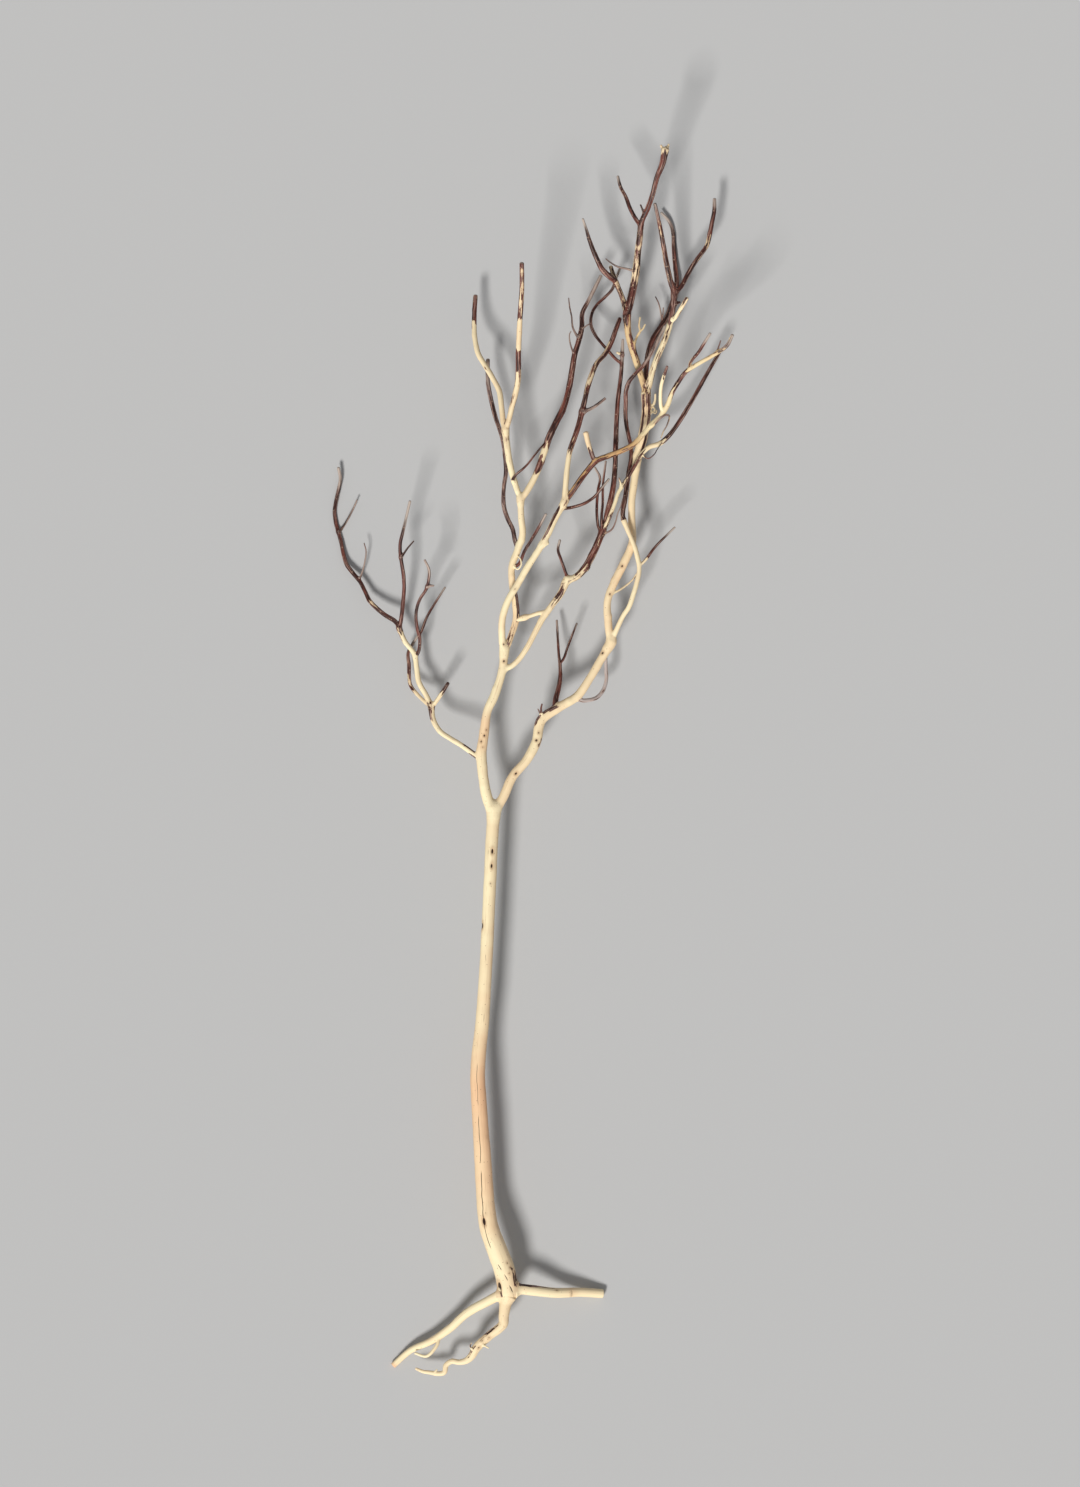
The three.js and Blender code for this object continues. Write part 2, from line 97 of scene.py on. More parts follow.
@dataclass(frozen=True)
class Twig:
    """A small twig, spur or stub on a limb.

    Attributes:
        share: place of its foot on the limb, 0 at the limb's foot and 1 at its tip.
        steps: its route as offsets from its foot on the limb's axis, in millimetres.
        width_mm: diameter at its foot.
        tip_mm: diameter at its end.
        bark: bark cover, 0 bare to 1 full.
    """

    share: float
    steps: tuple[Point, ...]
    width_mm: float
    tip_mm: float = 1.2
    bark: float = 1.0


@dataclass(frozen=True)
class Knot:
    """An oval hole, knot or scar on the upper face of a limb.

    Attributes:
        share: place along the limb.
        side_mm: distance to the right of the limb's middle line, seen from above.
        length_mm: size along the limb.
        width_mm: size across the limb.
        depth_mm: depth of the hollow; below zero it is a bump.
        stain: darkness, 0 none to 1 full.
    """

    share: float
    side_mm: float
    length_mm: float
    width_mm: float
    depth_mm: float = 0.6
    # stain: darkness of the knot, its halo and the painted shade in its hollow, 0 none to 1 full.
    stain: float = 1.0


@dataclass(frozen=True)
class Crack:
    """A drying crack along the upper face of a limb.

    Attributes:
        path: (share, side in millimetres) pairs.
        width_mm: full width of the opening.
        depth_mm: depth of the groove.
    """

    path: Stops
    width_mm: float = 0.5
    depth_mm: float = 0.35


@dataclass(frozen=True)
class Patch:
    """A patch of bark or stain on one side of a limb.

    Attributes:
        start: share where it starts.
        end: share where it ends.
        side_mm: distance of its middle to the right of the limb's middle line.
        width_mm: full width across.
        cover: weight added to the attribute at its middle.
    """

    start: float
    end: float
    side_mm: float
    width_mm: float
    cover: float = 1.0


@dataclass(frozen=True)
class Limb:
    """One limb of the tree, standing for the CAD node of the same name.

    Attributes:
        name: CAD node.
        parent: limb that it grows from, or None for the trunk.
        wood: material slot.
        bark: (share, cover) stops for the bark; empty means the slot's own habit.
        tan: (share, cover) stops for the tan tint.
        twigs: small twigs on it.
        knots: knots and holes on it.
        cracks: drying cracks on it.
        patches: bark patches on it.
        painted_side_shade: painted shade, extra tan on the side towards +X, which is turned away from the
            sun.
        end: how it ends.
    """

    name: str
    parent: str | None
    wood: Wood = Wood.STRIPPED
    bark: Stops = ()
    tan: Stops = ()
    twigs: tuple[Twig, ...] = ()
    knots: tuple[Knot, ...] = ()
    cracks: tuple[Crack, ...] = ()
    patches: tuple[Patch, ...] = ()
    painted_side_shade: float = 0.12
    end: End = End.ROUNDED


# ---------------------------------------------------------------------------------------------------------
# Small numeric helpers
# ---------------------------------------------------------------------------------------------------------


def smoothstep(low: float, high: float, value: np.ndarray) -> np.ndarray:
    """Eases value from 0 at low to 1 at high."""
    t = np.clip((value - low) / (high - low), 0.0, 1.0)
    return t * t * (3.0 - 2.0 * t)


def unit(vectors: np.ndarray) -> np.ndarray:
    """Scales the rows of an array to length one."""
    return vectors / np.maximum(np.linalg.norm(vectors, axis=-1, keepdims=True), 1e-12)


def between(low: float, high: float, t: np.ndarray, a: np.ndarray, b: np.ndarray) -> np.ndarray:
    """Runs evenly from a, where t is low, to b, where t is high."""
    return (high - t) / (high - low) * a + (t - low) / (high - low) * b


def rows_at(where: np.ndarray | float, along: np.ndarray, rows: np.ndarray) -> np.ndarray:
    """Reads the rows of an (n, 3) array at places between their own places along a line."""
    return np.stack([np.interp(where, along, rows[:, k]) for k in range(3)], axis=-1)


class ValueNoise:
    """Smooth seeded noise between -1 and 1, worked out for whole arrays."""

    TABLE = 4096
    PRIMES = (73856093, 19349663, 83492791)

    def __init__(self, seed: int) -> None:
        """Fills the table of lattice values from the seed."""
        self.values = np.random.default_rng(seed).random(self.TABLE)

    def at(self, points: np.ndarray) -> np.ndarray:
        """Noise at the rows of an (n, 3) array of lattice coordinates.

        Args:
            points: places, in lattice cells.

        Returns:
            One value for each row.
        """
        cell = np.floor(points).astype(np.int64)
        part = points - cell
        part = part * part * (3.0 - 2.0 * part)
        total = np.zeros(len(points))
        for corner in itertools.product((0, 1), repeat=3):
            at = cell + np.array(corner)
            key = np.bitwise_xor.reduce(at * self.PRIMES, axis=1)
            weight = np.prod(np.where(np.array(corner) == 1, part, 1.0 - part), axis=1)
            total += weight * self.values[key & (self.TABLE - 1)]
        return total * 2.0 - 1.0


# ---------------------------------------------------------------------------------------------------------
# Centrelines
# ---------------------------------------------------------------------------------------------------------


@dataclass
class Spine:
    """A centreline with a radius at each of its points.

    Attributes:
        points: (n, 3) array.
        radii: (n,) array.
        along: (n,) array of distances from the first point.
    """

    SPLITS = 12
    SAMPLES = 400

    points: np.ndarray
    radii: np.ndarray
    along: np.ndarray = field(init=False)

    def __post_init__(self) -> None:
        """Works out the distance along the line."""
        step = np.linalg.norm(np.diff(self.points, axis=0), axis=1)
        self.along = np.concatenate([[0.0], np.cumsum(step)])

    @property
    def length(self) -> float:
        """Length of the line."""
        return float(self.along[-1])

    def at(self, distance: float) -> tuple[np.ndarray, np.ndarray, float]:
        """Point, direction and radius at a distance from the foot.

        Args:
            distance: metres from the foot; clamped to the line.

        Returns:
            The point, the unit direction and the radius.
        """
        d = min(max(distance, 0.0), self.length)
        point = rows_at(d, self.along, self.points)
        i = int(np.clip(np.searchsorted(self.along, d), 1, len(self.along) - 1))
        direction = unit(self.points[i] - self.points[i - 1])
        return point, direction, float(np.interp(d, self.along, self.radii))

    def smooth(self, step: float) -> "Spine":
        """The same line through its points as a Catmull-Rom curve, with even steps.

        Args:
            step: distance between points.

        Returns:
            A finer spine.
        """
        before = 2 * self.points[0] - self.points[1]
        after = 2 * self.points[-1] - self.points[-2]
        p = np.vstack([before, self.points, after])
        gaps = np.linalg.norm(np.diff(p, axis=0), axis=1)
        knots = np.concatenate([[0.0], np.cumsum(np.sqrt(gaps) + 1e-9)])
        fine, girth = [], []
        for i in range(1, len(p) - 2):
            t = np.linspace(knots[i], knots[i + 1], self.SPLITS, endpoint=False)[:, None]
            fine.append(self._piece(p[i - 1 : i + 3], knots[i - 1 : i + 3], t))
            girth.append(np.linspace(self.radii[i - 1], self.radii[i], self.SPLITS, endpoint=False))
        raw = Spine(np.vstack(fine + [self.points[-1:]]), np.concatenate(girth + [self.radii[-1:]]))
        count = max(4, int(round(raw.length / step)))
        even = np.linspace(0.0, raw.length, count + 1)
        return Spine(rows_at(even, raw.along, raw.points), np.interp(even, raw.along, raw.radii))

    @staticmethod
    def _piece(p: np.ndarray, k: np.ndarray, t: np.ndarray) -> np.ndarray:
        """One stretch of the curve, between the middle two of four points.

        Args:
            p: the four points.
            k: their knots.
            t: knot values to read the curve at, as a column.

        Returns:
            One point of the curve for each value.
        """
        a = [between(k[i], k[i + 1], t, p[i], p[i + 1]) for i in range(3)]
        b = [between(k[i], k[i + 2], t, a[i], a[i + 1]) for i in range(2)]
        return between(k[1], k[2], t, b[0], b[1])

    def nearest(self, point: np.ndarray) -> float:
        """Finds the place on the line that is nearest to a point.

        Args:
            point: the point.

        Returns:
            The distance of that place along the line.
        """
        fine = np.linspace(0.0, self.length, self.SAMPLES)
        places = rows_at(fine, self.along, self.points)
        return float(fine[np.argmin(np.linalg.norm(places - point, axis=1))])

    def distance(self, points: np.ndarray) -> np.ndarray:
        """Signed distance of points to the surface of the swept limb.

        Args:
            points: (n, 3) array.

        Returns:
            Distances, negative inside.
        """
        best = np.full(len(points), 1e9)
        for i in range(len(self.points) - 1):
            a, b = self.points[i], self.points[i + 1]
            run = b - a
            t = np.clip((points - a) @ run / max(float(run @ run), 1e-14), 0.0, 1.0)
            gap = np.linalg.norm(points - (a + t[:, None] * run), axis=1)
            best = np.minimum(best, gap - (self.radii[i] + t * (self.radii[i + 1] - self.radii[i])))
        return best


class RingWalk:
    """Reads a CAD limb back as the rings that it was lofted through.

    GRID is the step that points are snapped to. A tip's ring is even within TIP_SLACK and the tip stands
    TIP_LIFT ring radii above it. A ring is round within RING_SLACK. STEM_SIDES is the stem's ring.
    """

    GRID = 0.001 * MM
    SIDE_COUNTS = (6, 8, 10, 12)
    STEM_SIDES = 12
    TIP_SLACK = 0.03
    TIP_LIFT = (0.2, 0.5)
    RING_SLACK = 0.06

    def __init__(self, node: bpy.types.Object) -> None:
        """Joins up the loose triangles of the node.

        Args:
            node: CAD node of the frame.
        """
        mesh = node.data
        raw = np.zeros(len(mesh.vertices) * 3, np.float32)
        mesh.vertices.foreach_get("co", raw)
        grid = np.round(raw.reshape(-1, 3).astype(float) / self.GRID).astype(np.int64)
        places, index = np.unique(grid, axis=0, return_inverse=True)
        self.points = places * self.GRID
        self.near: list[set[int]] = [set() for _ in range(len(self.points))]
        index = index.reshape(-1)
        for face in mesh.polygons:
            corners = [int(index[v]) for v in face.vertices]
            for a, b in itertools.permutations(corners, 2):
                if a != b:
                    self.near[a].add(b)

    def _tips(self) -> list[int]:
        """Finds the points of the low cones that close the ends.

        Returns:
            Their numbers, best first; for the stem that is the one nearest to the crown.
        """
        found = []
        for v, ring in enumerate(self.near):
            if len(ring) not in self.SIDE_COUNTS:
                continue
            around = self.points[sorted(ring)]
            away = np.linalg.norm(around - self.points[v], axis=1)
            centre = around.mean(axis=0)
            reach = np.linalg.norm(around - centre, axis=1)
            lift = np.linalg.norm(self.points[v] - centre) / reach.mean()
            slack = max(np.ptp(away) / away.mean(), np.ptp(reach) / reach.mean())
            if slack < self.TIP_SLACK and self.TIP_LIFT[0] < lift < self.TIP_LIFT[1]:
                stem = len(ring) == self.STEM_SIDES
                found.append((-self.points[v][1] if stem else np.ptp(away) / away.mean(), v))
        return [v for _, v in sorted(found)]

    def read(self) -> Spine:
        """Walks ring by ring from the tip to the foot.

        Returns:
            The spine, from foot to tip.
        """
        tips = self._tips()
        if not tips:
            raise ValueError("no tip found")
        seen = {tips[0]}
        layer = set(self.near[tips[0]])
        sides = len(layer)
        centres, radii = [], []
        while len(layer) == sides:
            ring = self.points[sorted(layer)]
            centre = ring.mean(axis=0)
            reach = np.linalg.norm(ring - centre, axis=1)
            if np.ptp(reach) > self.RING_SLACK * reach.mean():
                break
            centres.append(centre)
            radii.append(reach.mean())
            seen |= layer
            layer = set().union(*(self.near[v] for v in layer)) - seen
        return Spine(np.array(centres[::-1]), np.array(radii[::-1]))


# ---------------------------------------------------------------------------------------------------------
# Node trees
# ---------------------------------------------------------------------------------------------------------


class Sock:
    """An output socket with arithmetic: every operator adds a node to its graph."""

    def __init__(self, graph: "Graph", socket: bpy.types.NodeSocket) -> None:
        """Keeps the graph and the socket."""
        self.graph = graph
        self.socket = socket

    @property
    def kind(self) -> str:
        """VALUE, VECTOR or RGBA."""
        return self.socket.type if self.socket.type in ("VECTOR", "RGBA") else "VALUE"

    def __add__(self, other: "Input") -> "Sock":
        """self + other."""
        return self.graph.sum_of("ADD", self, other)

    def __radd__(self, other: "Input") -> "Sock":
        """other + self."""
        return self.graph.sum_of("ADD", other, self)

    def __sub__(self, other: "Input") -> "Sock":
        """self - other."""
        return self.graph.sum_of("SUBTRACT", self, other)

    def __rsub__(self, other: "Input") -> "Sock":
        """other - self."""
        return self.graph.sum_of("SUBTRACT", other, self)

    def __mul__(self, other: "Input") -> "Sock":
        """self * other."""
        return self.graph.sum_of("MULTIPLY", self, other)

    def __rmul__(self, other: "Input") -> "Sock":
        """other * self."""
        return self.graph.sum_of("MULTIPLY", other, self)

    def __truediv__(self, other: "Input") -> "Sock":
        """self / other."""
        return self.graph.sum_of("DIVIDE", self, other)

    def __rtruediv__(self, other: "Input") -> "Sock":
        """other / self."""
        return self.graph.sum_of("DIVIDE", other, self)


Input = Union[Sock, float, tuple]


class Graph:
    """A shader or geometry node tree and the few ways used here to add to it."""

    def __init__(self, tree: bpy.types.NodeTree) -> None:
        """Keeps the tree."""
        self.tree = tree

    def node(self, kind: str, settings: dict, inputs: dict, output: Union[str, int] = 0) -> Sock:
        """Adds a node of any type.

        Args:
            kind: node type.
            settings: properties to set first.
            inputs: values or sockets by input name or index.
            output: the output to hand back.

        Returns:
            The chosen output, or the first input of a node that has no output.
        """
        made = self.tree.nodes.new(kind)
        for name, value in settings.items():
            setattr(made, name, value)
        for name, value in inputs.items():
            if isinstance(value, Sock):
                self.tree.links.new(value.socket, made.inputs[name])
            else:
                made.inputs[name].default_value = value
        return Sock(self, made.outputs[output] if len(made.outputs) else made.inputs[0])

    def math(self, way: str, *values: Input) -> Sock:
        """A Math node on one or two numbers."""
        return self.node("ShaderNodeMath", {"operation": way}, dict(enumerate(values)))

    def sum_of(self, way: str, a: Input, b: Input) -> Sock:
        """Adds the arithmetic node that fits the kinds of a and b.

        Args:
            way: ADD, SUBTRACT, MULTIPLY or DIVIDE.
            a: first term.
            b: second term.

        Returns:
            The result.
        """
        kinds = [x.kind for x in (a, b) if isinstance(x, Sock)]
        if "RGBA" in kinds:
            pair = [(*x, 1.0) if isinstance(x, tuple) and len(x) == 3 else x for x in (a, b)]
            pair = [(x, x, x, 1.0) if isinstance(x, (int, float)) else x for x in pair]
            settings = {"data_type": "RGBA", "blend_type": way, "clamp_factor": True}
            return self.node("ShaderNodeMix", settings, {0: 1.0, 6: pair[0], 7: pair[1]}, 2)
        if "VECTOR" in kinds or isinstance(a, tuple) or isinstance(b, tuple):
            pair = [(x, x, x) if isinstance(x, (int, float)) else x for x in (a, b)]
            return self.node("ShaderNodeVectorMath", {"operation": way}, {0: pair[0], 1: pair[1]})
        return self.math(way, a, b)

    def blend(self, factor: Input, a: Input, b: Input) -> Sock:
        """Colour a where factor is 0 and b where it is 1."""
        a, b = [(*x, 1.0) if isinstance(x, tuple) and len(x) == 3 else x for x in (a, b)]
        return self.node("ShaderNodeMix", {"data_type": "RGBA"}, {0: factor, 6: a, 7: b}, 2)

    def mix(self, factor: Input, a: Input, b: Input) -> Sock:
        """Number a where factor is 0 and b where it is 1."""
        return self.node("ShaderNodeMix", {"data_type": "FLOAT"}, {0: factor, 2: a, 3: b}, 0)

    def ease(self, value: Input, low: float, high: float) -> Sock:
        """Eases a value from 0 at low to 1 at high; low may be above high.

        Args:
            value: what is eased.
            low: where the result is 0.
            high: where the result is 1.

        Returns:
            The eased value.
        """
        inputs = {"Value": value, "From Min": low, "From Max": high}
        if low > high:
            inputs |= {"From Min": high, "From Max": low, "To Min": 1.0, "To Max": 0.0}
        return self.node("ShaderNodeMapRange", {"interpolation_type": "SMOOTHSTEP"}, inputs)

    def attribute(self, name: str, output: str = "Fac") -> Sock:
        """A named attribute of the shaded mesh."""
        return self.node("ShaderNodeAttribute", {"attribute_name": name}, {}, output)


@dataclass(frozen=True)
class Grain:
    """How a wood's 4-D noise runs: across in cells a metre, along in cells a metre.

    Attributes:
        across: cells a metre round the limb.
        along: cells a metre down the limb.
        detail: octaves of the noise.
    """

    across: float
    along: float
    detail: float = 3.0


FLAKES = Grain(300.0, 85.0, 4.0)
STREAKS = Grain(560.0, 26.0, 2.0)
THREADS = Grain(1500.0, 20.0, 1.0)
RIDGES = Grain(1150.0, 55.0)
CLOUDS = Grain(300.0, 38.0, 3.0)
PORES = Grain(260.0, 420.0)


@dataclass(frozen=True)
class WoodFinish:
    """The finish of one material slot: bare wood, bark and what lies between.

    Attributes:
        slot: material slot.
        pale: main colour of the bare wood.
        warm: colour of its warm zones.
        shade: colour of its grain lines.
        tint: colour where the tan attribute is 1.
        bark_dark: deep colour of the bark.
        bark_mid: main colour of the bark.
        bark_dust_and_sheen: lighter ridges of the bark, partly dust and partly a painted highlight of its
            shine.
        bark_grey: grey of worn bark on thin ends.
        warmth: share of the bare wood that turns warm, 0 to 1.
        grain: run of the grain.
        rough: roughness of the bare wood.
        bark_rough: roughness of the bark.
        relief_mm: height of the grain's bump.
        rim: reddish margin round the bark.
        hollow: painted shade inside holes and cracks; in knots also their real dark stain.
        halo: stained wood round a knot.
        speck: small dark specks of the bare wood.
        pore: pale pores of the bark.
    """

    slot: Wood
    pale: Point
    warm: Point
    shade: Point
    tint: Point
    bark_dark: Point = (0.028, 0.009, 0.007)
    bark_mid: Point = (0.155, 0.044, 0.031)
    bark_dust_and_sheen: Point = (0.470, 0.285, 0.225)
    bark_grey: Point = (0.500, 0.420, 0.360)
    warmth: float = 0.5
    grain: Grain = Grain(620.0, 16.0)
    rough: float = 0.62
    bark_rough: float = 0.46
    relief_mm: float = 0.16
    rim: Point = (0.42, 0.22, 0.13)
    hollow: Point = (0.030, 0.014, 0.009)
    halo: Point = (0.36, 0.175, 0.080)
    speck: Point = (0.26, 0.13, 0.07)
    pore: Point = (0.42, 0.28, 0.20)

    def build(self) -> bpy.types.Material:
        """Makes the material.

        Returns:
            The material, named after the slot.
        """
        material = bpy.data.materials.new(f"wood_{self.slot.value}")
        material.use_nodes = True
        material.node_tree.nodes.clear()
        g = Graph(material.node_tree)
        off, along = g.attribute("offset", "Vector"), g.attribute("along")
        bark, bark_edge = self._bark_mask(g, off, along)
        half = g.attribute("cleft")
        cleft = g.ease(half - g.math("ABSOLUTE", g.attribute("crack")), -0.02, 0.10) * g.ease(half, 0.0, 0.08)
        # Painted shade: holes and cracks turn near-black, knots as far as their stain.
        hole = g.ease(g.attribute("mark"), 0.22, -0.12) * g.attribute("stain")
        hole = g.math("MAXIMUM", hole, cleft * 0.92)
        bare, bare_height = self._bare(g, off, along)
        skin, skin_height = self._skin(g, off, along)
        colour = g.blend(bark_edge * 0.45, bare, self.rim)
        colour = g.blend(bark, colour, skin)
        # Painted shade in the recesses, partly the real dark of knots.
        colour = g.blend(hole, colour, self.hollow)
        rough = g.mix(bark, self.rough, self.bark_rough) + 0.25 * hole
        height = g.mix(bark, bare_height, skin_height + 0.28) - 0.5 * hole
        inputs = {"Height": height, "Strength": 1.0, "Distance": self.relief_mm * MM * 2.4}
        bump = g.node("ShaderNodeBump", {}, inputs)
        inputs = {"Base Color": colour, "Roughness": rough, "Normal": bump, "Specular IOR Level": 0.28}
        shader = g.node("ShaderNodeBsdfPrincipled", {}, inputs)
        g.node("ShaderNodeOutputMaterial", {}, {"Surface": shader})
        return material

    @staticmethod
    def _noise(g: Graph, off: Sock, along: Sock, grain: Grain, shift: float = 0.0) -> Sock:
        """Adds 4-D noise that follows the limb.

        Args:
            g: graph.
            off: offset from the limb's axis.
            along: distance along the limb.
            grain: run of the noise.
            shift: start of the noise, so that two of them differ.

        Returns:
            The noise.
        """
        inputs = {"Vector": off * grain.across, "W": along * grain.along + shift, "Scale": 1.0}
        inputs |= {"Detail": grain.detail, "Roughness": 0.6}
        return g.node("ShaderNodeTexNoise", {"noise_dimensions": "4D"}, inputs)

    def _bark_mask(self, g: Graph, off: Sock, along: Sock) -> tuple[Sock, Sock]:
        """Turns the smooth bark attribute into bark with flaked borders.

        Args:
            g: graph.
            off: offset from the limb's axis.
            along: distance along the limb.

        Returns:
            The cover of bark, and the reddish margin round it.
        """
        torn = self._noise(g, off, along, FLAKES, 3.0)
        streak = self._noise(g, off, along, STREAKS, 9.0)
        level = g.attribute("bark") * 2.2 - 0.62 + (torn - 0.5) * 2.6 + (streak - 0.5) * 2.4
        return g.ease(level, 0.44, 0.54), g.ease(level, 0.10, 0.48)

    def _bare(self, g: Graph, off: Sock, along: Sock) -> tuple[Sock, Sock]:
        """Builds the bare wood: warm zones, tan and painted side shade, grain lines, stains and specks.

        Args:
            g: graph.
            off: offset from the limb's axis.
            along: distance along the limb.

        Returns:
            Its colour and its height.
        """
        fine = self._noise(g, off, along, self.grain)
        thread = self._noise(g, off, along, THREADS, 7.0)
        place = g.node("ShaderNodeTexCoord", {}, {}, "Object")
        broad = g.node("ShaderNodeTexNoise", {}, {"Vector": place, "Scale": 26.0, "Detail": 3.0})
        warm = g.ease(broad, 0.42, 0.66) * self.warmth
        colour = g.blend(warm, self.pale, self.warm)
        # The tan attribute also holds painted shade on the side towards +X, turned away from the sun.
        colour = g.blend(g.attribute("tan"), colour, self.tint)
        colour = g.blend(g.ease(fine, 0.56, 0.80) * 0.42, colour, self.shade)
        colour = g.blend(g.ease(thread, 0.64, 0.74) * 0.45, colour, self.shade)
        colour = g.blend(g.attribute("halo"), colour, self.halo)
        cell = g.node("ShaderNodeTexVoronoi", {}, {"Vector": place, "Scale": 210.0}, "Distance")
        speck = g.ease(cell, 0.13, 0.07)
        colour = g.blend(speck * 0.6, colour, self.speck)
        return colour, fine * 0.55 + thread * 0.35 + broad * 0.3 - speck * 0.2

    def _skin(self, g: Graph, off: Sock, along: Sock) -> tuple[Sock, Sock]:
        """Builds the bark: dark ground, ridges of dust and painted highlight, worn grey and pores.

        Args:
            g: graph.
            off: offset from the limb's axis.
            along: distance along the limb.

        Returns:
            Its colour and its height.
        """
        ridges = self._noise(g, off, along, RIDGES, 11.0)
        clouds = self._noise(g, off, along, CLOUDS, 13.0)
        colour = g.blend(g.ease(clouds, 0.42, 0.60), self.bark_dark, self.bark_mid)
        # Lighter ridges: partly dusty bark, partly a painted highlight of the bark's shine.
        colour = g.blend(g.ease(ridges, 0.51, 0.66) * 0.85, colour, self.bark_dust_and_sheen)
        grey = g.ease(clouds * 0.6 + ridges * 0.6 + g.attribute("dust") * 0.75, 0.75, 1.05)
        colour = g.blend(grey * 0.85, colour, self.bark_grey)
        inputs = {"Vector": off * PORES.across, "W": along * PORES.along, "Scale": 1.0}
        ticks = g.node("ShaderNodeTexVoronoi", {"voronoi_dimensions": "4D"}, inputs, "Distance")
        pore = g.ease(ticks, 0.30, 0.20)
        colour = g.blend(pore * 0.7, colour, self.pore)
        return colour, ridges * 0.8 + clouds * 0.4 + pore * 0.3


FINISHES = (
    WoodFinish(
        Wood.STRIPPED,
        pale=(0.95, 0.835, 0.55), warm=(0.86, 0.66, 0.42), shade=(0.46, 0.25, 0.13), tint=(0.84, 0.50, 0.29),
    ),
    WoodFinish(
        Wood.TAN,
        pale=(0.84, 0.70, 0.43), warm=(0.64, 0.43, 0.21), shade=(0.30, 0.14, 0.05), tint=(0.60, 0.34, 0.13),
        warmth=0.7,
    ),
    WoodFinish(
        Wood.BARK,
        pale=(0.90, 0.76, 0.50), warm=(0.74, 0.52, 0.32), shade=(0.30, 0.16, 0.09), tint=(0.56, 0.31, 0.15),
    ),
    WoodFinish(
        Wood.WEATHERED,
        pale=(0.52, 0.45, 0.43), warm=(0.36, 0.28, 0.27), shade=(0.16, 0.10, 0.09), tint=(0.42, 0.31, 0.25),
        bark_mid=(0.17, 0.11, 0.10), rough=0.75,
    ),
)


class SweepTree:
    """Geometry Nodes tree that sweeps polylines with a girth attribute into closed tubes."""

    def __init__(self) -> None:
        """Builds the tree with its named inputs."""
        tree = bpy.data.node_groups.new("limb_sweep", "GeometryNodeTree")
        face = tree.interface
        face.new_socket("Geometry", in_out="INPUT", socket_type="NodeSocketGeometry")
        sides = face.new_socket("Sides", in_out="INPUT", socket_type="NodeSocketInt")
        wood = face.new_socket("Wood", in_out="INPUT", socket_type="NodeSocketMaterial")
        face.new_socket("Geometry", in_out="OUTPUT", socket_type="NodeSocketGeometry")
        self.tree, self.sides, self.wood = tree, sides.identifier, wood.identifier
        g = Graph(tree)
        entry = tree.nodes.new("NodeGroupInput")
        given = {name: Sock(g, entry.outputs[name]) for name in ("Geometry", "Sides", "Wood")}
        line = g.node("GeometryNodeMeshToCurve", {}, {"Mesh": given["Geometry"]})
        ring = g.node("GeometryNodeCurvePrimitiveCircle", {}, {"Resolution": given["Sides"], "Radius": 1.0})
        girth = g.node("GeometryNodeInputNamedAttribute", {"data_type": "FLOAT"}, {"Name": "girth"})
        inputs = {"Curve": line, "Profile Curve": ring, "Scale": girth, "Fill Caps": True}
        tube = g.node("GeometryNodeCurveToMesh", {}, inputs)
        soft = g.node("GeometryNodeSetShadeSmooth", {}, {0: tube})
        real = g.node("GeometryNodeRealizeInstances", {}, {0: soft})
        done = g.node("GeometryNodeSetMaterial", {}, {"Geometry": real, "Material": given["Wood"]})
        leave = tree.nodes.new("NodeGroupOutput")
        tree.links.new(done.socket, leave.inputs["Geometry"])

    def sweep(
        self, name: str, spines: Sequence[Spine], sides: int, wood: bpy.types.Material
    ) -> bpy.types.Object:
        """Sweeps the spines into one plain mesh.

        Args:
            name: name of the object.
            spines: lines to sweep.
            sides: corners of the cross-section.
            wood: material.

        Returns:
            A mesh object with the attributes axis, along and strand on its points.
        """
        line = self._polylines(f"{name}_line", spines)
        holder = bpy.data.objects.new(f"{name}_holder", line)
        bpy.context.scene.collection.objects.link(holder)
        modifier = holder.modifiers.new("sweep", "NODES")
        modifier.node_group = self.tree
        modifier[self.sides] = sides
        modifier[self.wood] = wood
        bpy.context.view_layer.update()
        graph = bpy.context.evaluated_depsgraph_get()
        mesh = bpy.data.meshes.new_from_object(holder.evaluated_get(graph), depsgraph=graph)
        mesh.name = name
        bpy.data.objects.remove(holder)
        bpy.data.meshes.remove(line)
        made = bpy.data.objects.new(name, mesh)
        bpy.context.scene.collection.objects.link(made)
        return made

    @staticmethod
    def _polylines(name: str, spines: Sequence[Spine]) -> bpy.types.Mesh:
        """Draws spines as open lines that carry their numbers along.

        Args:
            name: name of the mesh.
            spines: lines to draw.

        Returns:
            A mesh of edges with the attributes girth, along, strand and axis.
        """
        points = np.vstack([s.points for s in spines])
        edges, first = [], 0
        for s in spines:
            edges += [(first + i, first + i + 1) for i in range(len(s.points) - 1)]
            first += len(s.points)
        line = bpy.data.meshes.new(name)
        line.from_pydata(points.tolist(), edges, [])
        carried = {
            "girth": np.concatenate([s.radii for s in spines]),
            "along": np.concatenate([s.along for s in spines]),
            "strand": np.concatenate([np.full(len(s.points), float(i)) for i, s in enumerate(spines)]),
        }
        for key, values in carried.items():
            line.attributes.new(key, "FLOAT", "POINT").data.foreach_set("value", values.astype(np.float32))
        axis = line.attributes.new("axis", "FLOAT_VECTOR", "POINT")
        axis.data.foreach_set("vector", points.astype(np.float32).ravel())
        return line


